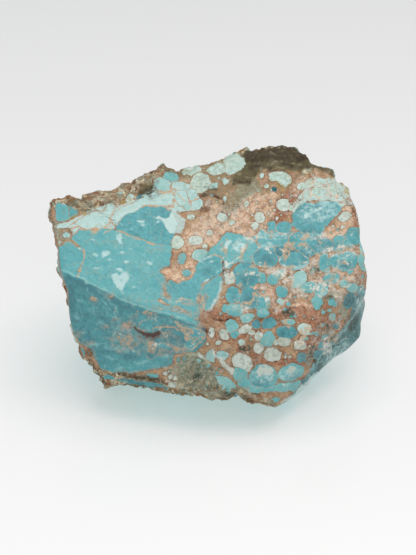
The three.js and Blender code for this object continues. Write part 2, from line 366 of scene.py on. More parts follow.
# Turquoise and pale nodules seen on the front: a tone and a shape in the picture. The tone runs from 0 deep
# blue-green through 0.25 turquoise, 0.5 mint and 0.7 pale mint to 0.9 chalky cream.
nodules = [
    # The clean turquoise of the upper left face.
    (0.25, area(56,247, 62,246, 65,242, 70,241, 74,245, 82,250, 83,260, 79,268, 77,278, 62,273, 58,260,
        52,254)),
    (0.29, area(72,236, 79,228, 86,230, 93,230, 104,227, 113,229, 118,232, 127,235, 139,239, 146,243,
        154,245, 162,246, 171,246, 172,255, 170,266, 161,269, 158,272, 165,277, 166,283, 163,288, 165,295,
        171,297, 160,298, 155,300, 162,304, 174,306, 184,309, 192,316, 200,325, 186,323, 174,318, 160,315,
        146,310, 132,305, 125,303, 111,295, 97,288, 83,281, 78,276, 80,268, 83.5,262, 84.5,252, 83,248,
        75,243, 70,239)),
    (0.22, area(119,222, 125,215, 134,211, 139,208, 147,205, 158,205, 165,206, 172,210, 177,220, 176,232,
        172,240, 168,245, 158,244, 152,243.5, 147,241, 140,237, 130,233, 121,230.5, 115,228)),
    # The broad pale band over it.
    (0.62, area(66,226, 75,221, 85,214, 90,212, 97,210, 104,209, 109,205, 113,204, 116,209, 112,216,
        110,224, 104,227, 98,229, 92,230, 86,230, 78,227, 70,229)),
    (0.63, area(117,210, 122,206, 129,204, 136,202, 141,197, 147,195, 155,192, 163,192, 171,193, 174,199,
        175,208, 166,207, 158,206, 150,206, 140,208, 136,212, 128,214, 121,220, 118,226, 112,227, 111,219,
        115,213)),
    # The middle, where the clean stone breaks into lobes.
    (0.24, area(166,282, 172,280, 178,284, 185,281, 191,279, 196,272, 196,265, 200,262, 207,258, 214,254,
        220,257, 222,264, 221,272, 214,275, 206,279, 201,284, 198,292, 196,301, 188,300, 180,299, 172,297,
        166,293, 164,288)),
    (0.27, area(205,284, 212,280, 220,277, 221,283, 217,294, 212,303, 207,309, 200,308, 199,302, 201,293)),
    (0.3, area(220,240, 223,235, 227,232, 233,233, 238,234, 247,236, 253,240, 258,246, 256,252, 250,256,
        243,258, 236,261, 229,265, 223,264, 221,256, 214,254, 208,259, 205,258, 210,252, 216,246)),
    (0.2, area(292,214, 298,205, 308,202, 316,204, 322,200, 330,201, 338,202, 342,208, 338,215, 332,220,
        326,227, 322,233, 315,238, 307,235, 298,227, 292,223)),
    # The shaded face on the lower left.
    (0.17, area(141,312, 150,312, 163,316, 175,320, 190,326, 182,331, 170,327, 160,325, 153,320)),
    (0.24, area(186,332, 193,327, 201,328, 206,333, 206,339, 201,343, 197,347, 194,352, 187,352, 183,347,
        185,340)),
    (0.19, blob(147,325.4, 9,6.5)), (0.15, blob(166,329, 8,5, -15)), (0.2, blob(150,345, 7,4, 10)),
    (0.24, blob(164,346, 8,4.5, -10)), (0.14, blob(152,356.5, 8,5)), (0.24, blob(80,353, 5,7, 35)),
    (0.24, blob(109,378, 7,2.6, -8)), (0.12, blob(137,383.5, 11,3, -8)), (0.3, blob(152,376, 7,2.4, -5)),
    (0.14, blob(153,388, 9,3, -6)), (0.16, blob(186,395, 5,2)),
    # The top left corner and the crust.
    (0.28, area(54,205, 57,203, 68,204, 69,218, 63,222, 56,221)),
    (0.18, area(69,207, 72,206, 78,213, 76,216, 69,217)), (0.6, line(4.5, 58,226, 68,224, 76,219, 85,215)),
    (0.52, blob(66,235, 3,3)), (0.62, blob(130,199, 5,3, 15)), (0.55, blob(120,193, 3,2.2)),
    (0.05, blob(139.5,196.5, 4,2.6, 30)), (0.56, blob(162.5,185, 8.5,7)), (0.36, blob(171,177, 5,4.5)),
    (0.6, blob(182,196, 6.5,8.5)), (0.58, blob(180,187, 9,4, -8)), (0.58, blob(191,193, 5,4.5)),
    (0.6, blob(196,204, 5,3.8, 10)), (0.56, blob(187,206, 3,3)), (0.7, blob(217,169, 8,4.5, 10)),
    (0.68, blob(234,164, 9.5,8, 20)), (0.7, blob(192,170, 8,3.6, 18)), (0.72, blob(200,183, 8.5,7.5, 20)),
    (0.64, blob(225.5,182, 2.8)), (0.55, blob(214,186, 3,2)), (0.74, blob(191,217, 4.5,3)),
    (0.76, blob(222.5,217.5, 6,4.2, -20)), (0.72, blob(232,222, 3.4,2.8)), (0.8, blob(209.5,232, 2.8)),
    (0.76, blob(178,242, 6,6.5)), (0.78, blob(196,240, 7.5,4.5)), (0.84, blob(205,246, 3)),
    (0.6, blob(224,199, 1.5,3)), (0.7, blob(247,203.5, 2.6)), (0.52, blob(199,254, 7,5.5)),
    (0.3, blob(182,259, 4,6, -20)), (0.3, blob(187,273, 4.2)),
    # The upper right.
    (0.62, blob(262,175, 2.5)),
    (0.73, area(267,174, 274,171, 286,172, 291,176, 290,184, 286,188, 281,185, 277,181, 271,181)),
    (0.7, blob(267,186, 2.6)), (0.71, blob(302,186, 5,3.4, 15)), (0.74, blob(310,182, 4.4,4)),
    (0.72, blob(307,195, 4.6,4.4)), (0.69, blob(322,180, 7,2.6, -12)), (0.7, blob(319,192, 7,6.5)),
    (0.72, blob(333,190, 4.2,6.6, 32)), (0.7, blob(347,190, 6.5,3.2, -38)), (0.12, blob(355,203, 3,6, 20)),
    (0.66, blob(340,198, 4,3)), (0.76, blob(283,205, 7,5.8, 15)), (0.7, blob(290.5,208, 2.6)),
    (0.7, line(5, 294,210, 299,204, 306,200)), (0.78, blob(260,217, 4.8,6)), (0.76, blob(254.5,226, 4)),
    (0.8, blob(273.5,210, 1.4)), (0.8, blob(269,213, 1.4)), (0.84, blob(276,218, 1.8)),
    (0.8, blob(280,215, 1.4)), (0.22, blob(271.5,225, 4.6)), (0.24, blob(284,226.5, 7,6)),
    (0.28, blob(263.6,239, 6,7)), (0.26, blob(280,240.5, 9,5)), (0.24, blob(299,240, 9.5,7.5)),
    (0.2, blob(320.5,244.5, 10.5,6.5)), (0.18, blob(307,251, 6,4.8)), (0.2, blob(265,257, 11,9.5)),
    (0.12, blob(284,251.5, 9,5)), (0.22, blob(294,260.5, 13,8)), (0.86, blob(345,217, 6.5,4.6, 25)),
    (0.74, blob(333.6,227, 2.6)), (0.8, blob(341.5,228.5, 3.4)), (0.55, blob(340,233, 2.4)),
    (0.3, blob(339,239, 4.4,3)), (0.22, blob(354,235, 8,8.5)), (0.28, blob(337,246, 4.4,3.4)),
    (0.26, blob(348,243, 4,2.6)), (0.24, blob(344,260.5, 12,9.5, 10)), (0.26, blob(325,263, 4.6,8)),
    (0.4, blob(363,262, 4,7, 10)), (0.45, blob(363,246, 2.4,6)),
    # The right.
    (0.2, blob(246,275.5, 12,12)), (0.86, blob(229.5,278, 5.4,4.8)), (0.28, blob(262,278, 3,4.5)),
    (0.3, blob(273,279, 4,4)), (0.28, blob(281,274, 4,3)), (0.48, blob(299,279, 8,5.5, 50)),
    (0.34, blob(310,287, 7,4.5)), (0.3, blob(320.5,290, 6.5,6)), (0.28, blob(331.6,278.5, 6,4.6)),
    (0.34, blob(350,273, 3)), (0.38, blob(343.5,284, 2.4)), (0.44, blob(352.6,287.5, 4.6,3)),
    (0.16, blob(363,293, 5,7)), (0.28, blob(282.5,291, 4.6,4.4)), (0.24, blob(234,295, 6,6.6)),
    (0.2, blob(249.5,297, 9,9.8)), (0.24, blob(260,303, 4.6,6)), (0.55, blob(280.4,302, 3)),
    (0.45, blob(267,302, 1.8,3.2)), (0.3, blob(289,304, 3)),
    (0.36, area(311,302, 316,297, 321,298, 322,303, 320,309, 316,310, 313,306)),
    (0.12, blob(349,301.5, 4.6,8.4, -15)), (0.34, blob(235,310, 7,6.4)), (0.28, blob(225,308.6, 2.8)),
    (0.34, blob(220.5,314, 1.8)), (0.46, blob(247,318.5, 5.6,4, 25)), (0.34, blob(264,312.6, 6,4.8)),
    (0.12, blob(257,324, 4,3.2)), (0.16, blob(269.5,323.5, 6.5,4.8, 15)), (0.4, blob(289,321.5, 5.6,2.6)),
    (0.14, blob(287,332, 9.5,6.6)), (0.66, blob(305,329, 6.2,5.6)), (0.42, blob(332.5,317.5, 3.6,5)),
    (0.1, blob(335.7,326, 3.4,2.8)), (0.2, blob(316.6,333.6, 2.6)), (0.36, blob(305,338.2, 3.6,2.4)),
    # The chalky nodules and the band under them.
    (0.4, blob(231,326, 6,5.6)), (0.28, blob(234.5,334, 3.4,3.6)), (0.9, blob(245,329, 6,4, 15)),
    (0.92, blob(252,332.6, 2.6,2.2)), (0.9, blob(224.3,335, 4.4,6.4, 35)), (0.88, blob(212,333, 3.4,5.6)),
    (0.86, blob(258.6,336, 3.4,4)), (0.34, blob(268,339.6, 6.6,7.4, -15)), (0.88, blob(258.3,348, 5,4.8)),
    (0.88, blob(272.8,355, 8.3,7)),
    (0.87, area(233,357, 238,352.5, 245,355, 250,359, 252,364, 248,370.5, 242,368, 235,366, 232,361)),
    (0.72, blob(218.8,342.6, 3,2.3)), (0.86, blob(207,345, 1.9)), (0.5, blob(211,356, 5.2,6)),
    (0.42, blob(222.5,355, 6,5)), (0.86, line(4, 199,355, 204,359)),
    (0.9, line(5, 222,362, 227,367, 231,371)), (0.66, blob(241.5,342.5, 2.2)), (0.7, blob(276,343, 2.2)),
    (0.92, blob(284,341.5, 6,4.6)), (0.97, blob(300.6,345.5, 5.6,4.8)), (0.14, blob(302,358, 4.4,4)),
    (0.12, blob(318.8,355, 5.4,5)), (0.2, blob(322,346, 3.4,5)), (0.36, blob(291,372.3, 13.4,7.4, 18)),
    (0.25, blob(263,377, 13,11)), (0.34, blob(240,374, 6,6)), (0.44, blob(224,381, 12,3.6, -25)),
    (0.34, blob(246,383, 7,4)),
    (0.34, area(249,386, 262,388, 276,386, 290,384, 302,382, 297,390, 286,391, 272,390, 256,393, 250,391)),
    (0.88, blob(165,374, 2.6,2.4)), (0.88, blob(171,377, 2.8,2.4)), (0.86, blob(176,378, 2.2)),
    (0.88, blob(171.5,385, 4.6,3.2, -15)), (0.7, blob(169,371.5, 1.6)), (0.3, blob(276,400, 5,2.2, 10)),
    # The smooth bevel on the right.
    (0.06, area(368,284, 370,304, 366,316, 364,327, 364,341, 357,348, 336,360, 316,376, 297,398, 284,408,
        288,399, 299,388, 307,375, 315,366, 322,352, 326,340, 338,336, 348,324, 354,304, 361,292)),
    (0.0, area(349,322, 352,314, 357,310, 360,316, 358,324, 354,332, 349,336, 346,331)),
    (0.02, blob(336,344, 5,3.4, 20)), (0.34, line(3, 359,338, 348,347, 334,357, 322,367, 312,376)),
    (0.24, line(2.4, 332,349, 322,358, 314,366)), (0.2, blob(325,337, 3.4,2.6)),
    (0.3, blob(333,303, 3,4, 20)), (0.22, blob(322,326, 2.4)), (0.26, blob(317,333, 2)),
    (0.4, blob(329,311, 2)),
]

# Turquoise that lies under and between the nodules: a tone, how many pixels deep it counts as, and where.
fills = [
    (0.61, 0.35, area(306,187, 316,178, 334,177, 350,190, 353,204, 342,207, 330,200, 312,200, 298,205,
        294,212, 290,208, 298,198)),
    (0.25, 0.6, area(158,296, 176,297, 196,301, 201,310, 200,320, 203,328, 194,326, 184,316, 172,308)),
    (0.14, 1.0, area(59,268, 72,274, 80,278, 97,287, 109,293, 122,299, 136,305, 160,313, 188,323, 206,328,
        206,342, 196,352, 174,354, 172,364, 160,368, 142,372, 127,373, 112,372, 102,370, 90,350, 79,342,
        69,328, 66,312, 62,296)),
    (0.12, 0.5, area(112,379, 126,379, 146,381, 166,384, 168,390, 150,392, 130,386)),
    (0.18, 3.5, area(88,344, 104,343, 122,350, 140,353, 168,353, 172,362, 160,368, 142,372, 112,372,
        102,370)),
    (0.56, 0.5, area(68,226, 76,217, 84,213, 92,212, 88,222, 92,230, 80,231, 74,238)),
    (0.58, 0.4, area(86,212, 98,206, 116,205, 134,200, 146,192, 158,184, 176,190, 200,196, 196,210, 180,212,
        140,208, 120,214, 116,228, 92,230)),
    (0.25, 0.5, area(226,236, 252,236, 262,230, 290,230, 312,236, 310,243, 290,248, 270,247, 256,262,
        236,262)),
    (0.24, 0.4, area(196,278, 222,282, 216,304, 206,312, 196,306)),
]

# Where the nodules crowd together or draw apart: pixels added to their size, and where.
crowding = [
    (1.8, area(222,238, 250,238, 258,230, 292,224, 330,238, 345,232, 364,226, 370,296, 352,306, 324,306,
        300,298, 270,304, 262,318, 240,318, 222,312, 224,290)),
    (-3.0, blob(262,289, 9,4)), (-2.5, blob(337,231, 9,4.5)), (-2.5, blob(350,275, 10,3)),
    (-2.5, blob(294,309, 12,4)), (-2.0, blob(338,294, 10,7)), (-2.0, line(2, 222,262, 223,300, 214,312)),
    (2.2, area(150,178, 176,168, 214,160, 246,150, 246,166, 232,174, 206,192, 204,210, 186,212, 174,200)),
    (1.4, line(7, 118,231, 130,235, 143,240, 158,245, 171,246)), (1.8, line(7, 84,250, 82,262, 78,277)),
    (1.6, area(196,256, 222,240, 232,260, 222,300, 210,312, 196,304, 198,280)),
    (0.4, area(296,178, 326,172, 350,186, 352,204, 330,200, 304,198)),
    (1.4, area(232,366, 276,364, 304,366, 304,392, 250,394, 214,388)),
    (0.8, area(226,320, 310,316, 312,362, 232,362)),
]

# Small nodules strewn in the gaps: how many tries, the smallest and largest radius in pixels, the range of
# tones, and where.
gapFillers = [
    (260, 1.0, 2.4, 0.18, 0.42, area(222,240, 292,222, 364,226, 370,300, 340,330, 262,322, 222,310)),
    (110, 0.7, 1.4, 0.62, 0.85, area(206,196, 262,190, 300,186, 290,222, 258,232, 206,236)),
    (110, 0.8, 1.8, 0.2, 0.9, area(214,318, 330,316, 316,366, 214,364)),
    (120, 0.8, 2.2, 0.3, 0.7, area(150,180, 242,156, 242,176, 206,200, 178,200)),
    (70, 0.8, 1.8, 0.4, 0.75, area(296,172, 330,170, 360,200, 362,236, 340,210, 300,190)),
    (60, 1.0, 2.0, 0.2, 0.5, area(172,352, 220,356, 250,400, 180,394)),
]

# Marks on the ground between the nodules, drawn in the same way. The finish gives each one its colour.
groundMarks = {
    "pink": [
        area(300,180, 330,174, 350,190, 360,214, 350,226, 336,230, 345,212, 330,198, 306,200),
        blob(213,241, 10,7), blob(192,251, 8,8), blob(272,196, 7,5),
        area(213,205, 225,193, 240,190, 258,193, 275,200, 282,214, 268,224, 258,236, 240,233, 224,231,
            210,246, 196,250, 176,252, 184,232, 198,222, 208,214),
        area(157,272, 170,268, 180,262, 196,262, 196,280, 184,286, 176,282, 164,276), blob(126,339, 9,7),
        blob(135,317, 10,6), blob(262,290, 12,7), blob(334,232, 12,7), blob(345,275, 12,8),
        blob(300,310, 14,8), blob(186,343, 8,12, 20), blob(170,300, 14,5), blob(200,310, 8,5),
    ],
    "rust": [
        area(203,312, 214,308, 228,312, 238,320, 230,324, 216,322, 204,326, 198,322),
        area(272,214, 280,198, 290,190, 300,192, 298,202, 290,214, 278,224, 270,220),
        line(5, 204,330, 232,342, 262,328, 296,316, 330,306, 352,292),
        line(7, 240,348, 264,362, 294,362, 314,366), line(4, 250,245, 238,256, 224,268),
        blob(290,314, 26,8, 5), blob(312,348, 14,20), blob(345,180, 6,3), blob(355,215, 4,12, 10),
        area(300,322, 322,312, 344,316, 346,328, 330,338, 314,362, 304,352),
    ],
    "brown": [
        area(196,190, 204,187, 216,188, 215,194, 205,198, 196,197), blob(205,209, 6,2.6, 8),
        line(3, 240,172, 256,170, 272,171, 290,173), blob(113,374, 8,2.6), blob(131,375, 9,2.6),
        blob(148,379, 13,3.2, -8), blob(102,385, 5,4), blob(99,373, 3,6), blob(318,362, 6,6),
        blob(93,342, 3,2), blob(90,352, 3,5),
        line(1.6, 53,228, 56,250, 59,268, 64,288, 69,309, 71,330, 79,348),
        line(3, 331,184, 340,193, 348,203, 354,212), blob(120,383, 9,2.4),
    ],
    "olive": [
        area(308,154, 316,160, 326,163, 335,170, 341,180, 337,180, 329,171, 318,168, 308,167),
        area(241,152, 262,146, 296,144, 310,158, 316,164, 312,168, 298,171, 280,171, 266,169, 256,170,
            247,176, 240,168),
        area(231,174, 246,166, 257,170, 254,180, 244,184, 233,185), blob(247,181, 5,3, -40),
        area(140,183, 158,182, 158,196, 144,200, 136,194),
    ],
    "greyGreen": [
        area(51,222, 66,223, 70,232, 66,244, 58,250, 54,246), blob(336,296, 10,6), blob(345,312, 5,8),
        area(256,178, 262,186, 248,196, 240,208, 226,215, 222,208, 230,194, 240,182),
        area(180,358, 192,351, 206,358, 216,370, 232,388, 244,398, 216,402, 176,390, 166,372),
        area(244,182, 258,180, 262,190, 250,196, 240,206, 226,212, 226,203, 236,194),
        blob(330,336, 10,6, -20), blob(316,269, 7,5), blob(312,358, 5,8, -20),
    ],
    "whitish": [
        blob(60,237, 6,9),
        area(292,180, 312,174, 332,172, 350,186, 358,206, 346,208, 332,198, 300,203, 286,214),
        area(226,236, 262,226, 300,228, 340,236, 364,230, 368,300, 340,300, 312,296, 270,306, 262,300,
            256,276, 240,262),
        area(206,200, 232,196, 250,206, 240,226, 222,232, 206,240, 190,248, 196,226),
        area(314,330, 340,318, 352,322, 338,338, 322,344, 318,362, 310,358),
    ],
    "darkGreen": [
        blob(289.5,313, 7,5), blob(246,349, 6,4, -20), blob(229,394, 8,4), blob(316,270, 3,3),
        blob(330,298, 5,3), blob(350,322, 5,10, -25), blob(196,372, 12,8), blob(214,384, 10,6),
        blob(328,328, 4,4), blob(314,352, 4,7, -20), blob(184,396, 8,3), blob(200,360, 6,4),
    ],
    "lichen": [
        area(180,362, 192,354, 204,358, 216,370, 230,388, 238,396, 216,398, 190,394, 176,382),
        blob(92,203, 5,3), blob(146,190, 7,5, 30), blob(74,203, 4,2), blob(110,203, 5,2),
        blob(130,196, 4,2), blob(268,167, 14,2.6, 5), blob(240,168, 6,3, 50), blob(276,154, 14,3),
    ],
    "sand": [
        blob(84,204, 6,2.6, -20), blob(98,200, 6,2.4, 20), line(1.6, 246,393, 256,398, 268,400, 280,400),
        blob(112,196, 5,2.2), blob(124,190, 5,2.2, 20), blob(140,182, 4,1.6, 30), blob(156,175, 4,2, 30),
        blob(91,209, 4,1.4), blob(186,179, 5,2.4), blob(122,387, 4,1.6), blob(180,386, 8,3, -10),
        line(1.4, 186,356, 198,354, 208,362, 218,372), line(1.4, 212,396, 232,399, 244,402),
        line(1.6, 236,391, 250,396, 264,399), blob(166,366, 3,1.6),
    ],
    "wash": [
        area(152,178, 176,168, 204,163, 232,152, 248,156, 260,170, 258,186, 244,198, 230,212, 220,206,
            206,194, 188,178, 170,182),
        blob(346,190, 8,5, -50), blob(60,238, 6,9), blob(268,190, 6,4), blob(200,190, 10,4),
    ],
}

# Marks that lie over the nodules too. Veil, stain and the dark mottles with painted shade lie on the nodules
# alone.
overMarks = {
    "pinkOver": [
        blob(126,340, 8,6, 10), blob(127,325, 6,3), blob(140,333, 6,3, -20), blob(118,334, 4,3),
        blob(134,345, 5,3), blob(116,345, 3,2), blob(144,341, 5,2), blob(133,328, 4,2),
        blob(162,333, 4,1.6), blob(122,350, 4,2), blob(108,326, 3,1.6), blob(112,338, 3,2),
        blob(117,319, 3,1.4, 20), blob(134,317, 3,1.4, 20),
        area(138,336, 150,339, 158,337, 150,342, 140,342), line(2.4, 122,326, 124,333, 127,336),
        line(2, 168,333, 176,337, 182,346, 183,352), line(1.6, 160,337, 168,341, 174,349),
        line(2, 140,350, 150,352, 162,350, 172,352), line(1.6, 152,312, 160,308, 172,309),
        blob(182,312, 9,2.4, -12), blob(204,300, 2.6,7, -10), blob(187,303, 5,1.2, -10),
        line(2, 165,280, 162,288, 167,296), blob(199,300, 2.4,6), blob(110,297, 2.4,1.4),
        blob(93,300, 2.4,1.8), blob(80,334, 3,2),
        area(196,312, 206,312, 214,318, 206,326, 200,330, 196,320), line(1.6, 76,346, 84,344, 92,344),
        line(2.2, 180,259, 176,264, 178,268),
    ],
    "veil": [
        blob(318,211, 19,11, 15), blob(336,214, 6,8), line(5, 294,204, 304,199, 320,196, 338,200),
        blob(300,268, 10,3), blob(299,279, 8,6, 40), blob(320,290, 8,6), blob(345,254, 12,5),
        blob(270,236, 20,4), blob(310,236, 10,4), blob(246,241, 9,5), blob(240,248, 8,5),
        blob(266,246, 8,3), blob(332,196, 14,6, -20), blob(309,250, 5,4), blob(284,270, 10,5),
        blob(336,270, 8,5), blob(235,307, 6,3), blob(264,311, 5,3), blob(222,356, 9,6), blob(262,376, 12,8),
        blob(288,374, 12,6, 18), area(356,302, 364,290, 364,310, 356,320), blob(336,354, 16,5, 38),
        blob(320,179, 12,5, -15),
    ],
    "pale": [
        area(154,216, 160,217, 166,219, 172,211, 177,209, 181,217, 185,219, 184,225, 181,233, 175,234,
            170,233, 167,228, 163,222),
        line(0.8, 241,257, 228,264, 214,274, 203,281), line(1.2, 222,262, 223,280),
        # This line is painted light: the strip along the lower edge of the right-hand bevel, lit from the
        # floor.
        line(2.2, 360,342, 335,358, 315,375, 294,396, 282,403),
    ],
    "cream": [
        line(1.6, 52,226, 60,226, 68,222, 78,217), line(1.2, 54,235, 62,232), blob(60,241, 3,1.4, 40),
        blob(291,369.5, 5.4,2.4, 25), blob(264.5,371.3, 8.4,5.6), line(1.2, 160,301, 170,301.5, 181,301),
    ],
    "bloom": [
        blob(105,253.5, 4.4,3, 50), blob(121.5,252, 2.4,1.2), blob(140,221, 4,1.3, -10),
        blob(143,225, 2,1.4), blob(119,270, 4,1.5, -25),
        area(111.5,277, 115,274, 119,276.5, 122.5,273.5, 127.5,272, 128.5,277, 126,283, 124.5,289, 122,293,
            118,288, 113.5,283),
        blob(96,254.5, 3,1.4), blob(109,260, 2,1), blob(126,262, 2.4,1), blob(149,263.5, 2.6,1.2, -25),
        blob(80,248, 1.6,1), blob(119,238, 2.4,5, 20), blob(134,287, 2,1), blob(96,268, 2,1),
        blob(92,240, 2,1), line(1.4, 199,262, 206,259, 213,256), blob(212,262, 3,1.4, 20),
        blob(228,243, 4,2, 30), line(2.2, 221,283, 219.5,295, 214,304, 210,309), blob(307,216, 4,2, 30),
        blob(318,209, 6,2, 30), blob(241,245, 4,2), blob(236,249, 4,1.6, -20), blob(158,222, 2,1),
        line(1.2, 282,385, 292,384),
    ],
    "deep": [
        area(350,320, 353,314, 357,312, 359,318, 356,326, 351,333, 348,329), blob(338,344, 3.4,2, 20),
        blob(289,313, 5,4), blob(246,349, 4,2.4, -20), blob(331,298, 3,2), blob(317,270, 3,2),
        blob(229,394, 7,3), blob(196,378, 6,4), blob(212,388, 5,3), blob(150,191, 5,4, 30),
        line(1.4, 140,196, 150,198, 160,194), blob(205,195, 3,2),
        line(1.6, 111,374, 126,375, 140,378, 156,380), blob(318,363, 4,3),
    ],
    "streak": [
        line(1.2, 362,298, 356,312, 346,328, 336,338), line(1, 356,330, 346,338, 334,346),
        line(1.2, 360,342, 346,351, 332,361, 318,372), line(1, 352,336, 340,350, 330,356),
        line(1.2, 326,340, 329,348, 333,354), line(1.2, 318,356, 326,352, 332,346),
        line(0.9, 364,308, 360,324), line(1, 322,342, 324,350), line(1, 314,372, 306,380, 298,390),
        line(1.1, 250,388, 270,389, 290,386, 302,382), line(0.9, 256,392, 280,392, 296,389),
        line(1, 214,385, 226,379, 238,375), line(0.8, 252,380, 262,386, 274,386),
    ],
    "umber": [
        line(2.2, 50,202, 60,199, 74,197, 90,194, 106,191, 122,185, 134,181, 146,175, 154,169),
        line(2.2, 154,169, 162,166, 172,169, 184,171, 194,170), line(1.6, 86,200, 100,206, 116,200),
        line(2, 104,196, 120,196, 134,190, 146,182), line(1.6, 120,200, 132,193, 148,188),
        blob(92,198, 4,1.6, 15), blob(130,187, 5,2, 25), blob(74,204, 4,1.4), blob(156,181, 3,3),
        blob(176,172, 6,1.6), line(1.8, 49,206, 50,216, 54,226),
        line(1.6, 244,153, 262,149, 280,147, 298,150, 308,158, 314,165, 326,169, 337,179),
        line(2, 111,374, 126,376, 140,378, 156,380), blob(103,386, 4,3),
        line(1.6, 110,391, 130,391, 150,394), line(1.6, 170,396, 196,399, 214,401, 226,401),
        blob(150,337, 11,3), line(1.4, 84,352, 92,364, 99,376), line(2, 246,402, 262,405, 276,406),
        line(1.2, 230,350, 240,349), line(1.4, 250,364, 262,361), line(1.6, 300,354, 310,360, 318,366),
        line(1.2, 336,186, 346,197, 352,208), blob(206,196, 7,2.4), line(1.2, 360,232, 364,246, 366,262),
        line(1.4, 355,274, 364,280),
    ],
    "frost": [
        line(5, 268,270, 280,268, 290,276, 286,284), blob(322,236, 5,3, -20), line(1.6, 350,244, 362,251),
        line(4, 330,248, 318,254, 311,264, 303,271), line(5, 308,276, 322,282, 332,290, 340,300),
        line(4, 296,290, 284,302, 276,310), line(4, 320,294, 330,286, 344,280),
        line(1.6, 330,254, 336,249, 350,249, 357,254), blob(252,237, 8,3), blob(246,311, 4,6),
        line(3, 212,350, 224,362, 232,372), blob(327,347, 4,8), blob(278,272, 12,4, -10),
        blob(300,292, 8,4), line(3, 338,262, 332,270, 322,276),
    ],
    "tan": [
        line(1.6, 118,231, 127,234, 134,238, 143,240, 149,243, 155,244.5), blob(95,230, 4,2.6, 15),
        line(1.3, 84,250, 83.6,260, 80,269, 78,277), line(1.4, 63,243, 68,240.5, 73,242, 76,245),
        line(1.2, 109,228, 111,218, 116,211, 117,206), line(1.2, 104,232, 112,229, 104,227),
        line(1.3, 156,192, 164,193, 172,191, 186,200), line(1.4, 166,298, 172,301, 182,300),
        line(1.8, 153,328, 165,327, 176,328, 184,333), line(2, 200,303, 203,298, 204,308),
        line(1.3, 163,285, 166,290, 164,295), blob(112,296, 2.6,1.4), blob(93,299, 3,2),
        line(1.6, 60,232, 66,228, 74,228),
    ],
    "crack": [
        line(3.2, 134.5,328.5, 138,332, 143,334.4),
        area(139,331, 146,332.5, 152,333.5, 158,331, 160.5,334, 155.5,337.8, 147,338.2, 141,336),
        line(1.2, 211,316, 218,320, 224,321, 233,318), line(1.2, 202,328, 206,331, 210,333),
        line(1.2, 212,196, 218,197.5, 222,200, 223.5,204), line(0.9, 222.5,262, 222.8,280),
        line(1.1, 221,212, 229,218), blob(228,272.7, 3,1.2),
    ],
    "mustard": [
        blob(281,187, 6,3.4, -25), line(2, 289,173, 291,181, 288,187), line(2, 320,172, 334,178, 344,186),
        blob(347,191, 5,3, -30), line(1.4, 56,229, 66,229), blob(126,201, 6,2.6, 15),
        line(3, 70,218, 80,213, 88,214), blob(310,182, 3,2),
    ],
    # The first line is a painted highlight along the ridge between the bright upper face and the shaded lower
    # left face; the others are pale edges of lobes.
    "paleEdgesAndPaintedRidgeHighlight": [
        line(1.8, 61,270, 69,272.5, 76,275.5, 83,278.5, 90,283.5, 97,286.5, 104,289.5, 111,293, 118,296.5,
            125,300.5, 132,303, 139,305, 146,307.5, 153,310.5, 160,312.5, 167,314, 174,316, 181,318.5,
            188,320.5, 197,322),
        line(1.2, 85,281, 88,292, 93,297, 100,299, 106,304, 110,309, 116,315, 119,322),
        line(0.8, 92,345, 104,343, 116,347, 131,350, 147,352), line(0.8, 119,327, 113,335, 116,341),
    ],
    "stain": [
        area(222,240, 262,228, 300,230, 340,238, 364,232, 368,300, 340,300, 312,298, 270,306, 240,310,
            222,304, 224,262),
        area(116,308, 140,306, 196,322, 206,340, 186,352, 140,352, 114,344),
        area(280,316, 330,306, 350,320, 320,362, 300,356),
    ],
    "hairline": [
        line(0.7, 121,232, 124,245, 122,252), line(0.6, 171,246, 176,252, 186,252, 196,250),
        line(0.7, 222,262, 223,281), line(0.6, 236,262, 228,268, 223,264),
        line(0.6, 207,283, 202,290, 200,300), line(0.6, 88,240, 96,246, 104,244, 112,250),
        line(0.6, 128,248, 138,246, 150,250, 160,262), line(0.6, 90,272, 102,276, 110,286, 124,296),
        line(0.6, 130,268, 142,276, 150,290, 160,300), line(0.6, 134,225, 144,218, 152,212),
        line(0.6, 176,285, 186,292, 196,294), line(0.6, 200,262, 206,270, 214,275),
        line(0.6, 246,264, 247,276, 246,288), line(0.7, 59,205, 60,220), line(0.7, 63,205, 64,221),
        line(0.7, 67,206, 67,218),
    ],
    "sooty": [
        area(243,153, 262,147, 296,145, 310,158, 300,163, 280,160, 262,162, 250,164),
        line(2, 298,168, 312,165), line(3, 89,360, 98,374, 104,387),
        line(3, 112,373, 128,376, 146,378, 164,381), line(2, 142,191, 150,186, 157,190),
        line(2, 196,397, 216,399, 236,396, 252,403), line(1.6, 205,187, 216,189),
    ],
    # Pale speckles and lines, with painted highlight: the lines on the right-hand bevel paint the light on
    # its lower edge.
    "glint": [
        line(4.5, 358,344, 344,354, 330,365, 314,381, 298,396), line(2, 318,358, 326,352, 332,342),
        line(3, 328,352, 318,362, 308,376), line(1.2, 350,338, 340,346, 330,352),
        line(1.2, 97,289, 107,298, 116,308, 121,317, 119,329), line(1.2, 158,318, 180,325, 198,330),
        line(1.6, 88,345, 100,346, 112,349, 128,351), blob(80,300, 3,2), blob(92,312, 4,2, -40),
        blob(100,322, 3,2), blob(76,318, 2.4,3), blob(84,334, 4,2), blob(168,356, 6,2),
        blob(142,362, 8,2, 5), blob(110,358, 6,1.6, -8), blob(120,368, 6,1.4),
        line(1.6, 262,384, 280,384, 296,381), line(2, 226,386, 240,390, 256,392), blob(299,279, 2.4,5, -30),
        blob(268,341, 2.2,4.6, -20), blob(246,241, 6,2), blob(300,206, 5,2, 30), blob(330,206, 6,2, -10),
        line(1.4, 342,318, 336,326, 330,334),
    ],
    # Darker mottles, and painted shade: the first line darkens the lower left face just under its ridge,
    # where it turns into shade.
    "dusk": [
        line(3.4, 68,278, 97,292, 125,306, 146,313, 167,319, 188,327), blob(70,300, 5,15),
        blob(110,352, 12,2.6), blob(160,352, 10,3), blob(174,338, 7,3), blob(130,357, 10,3),
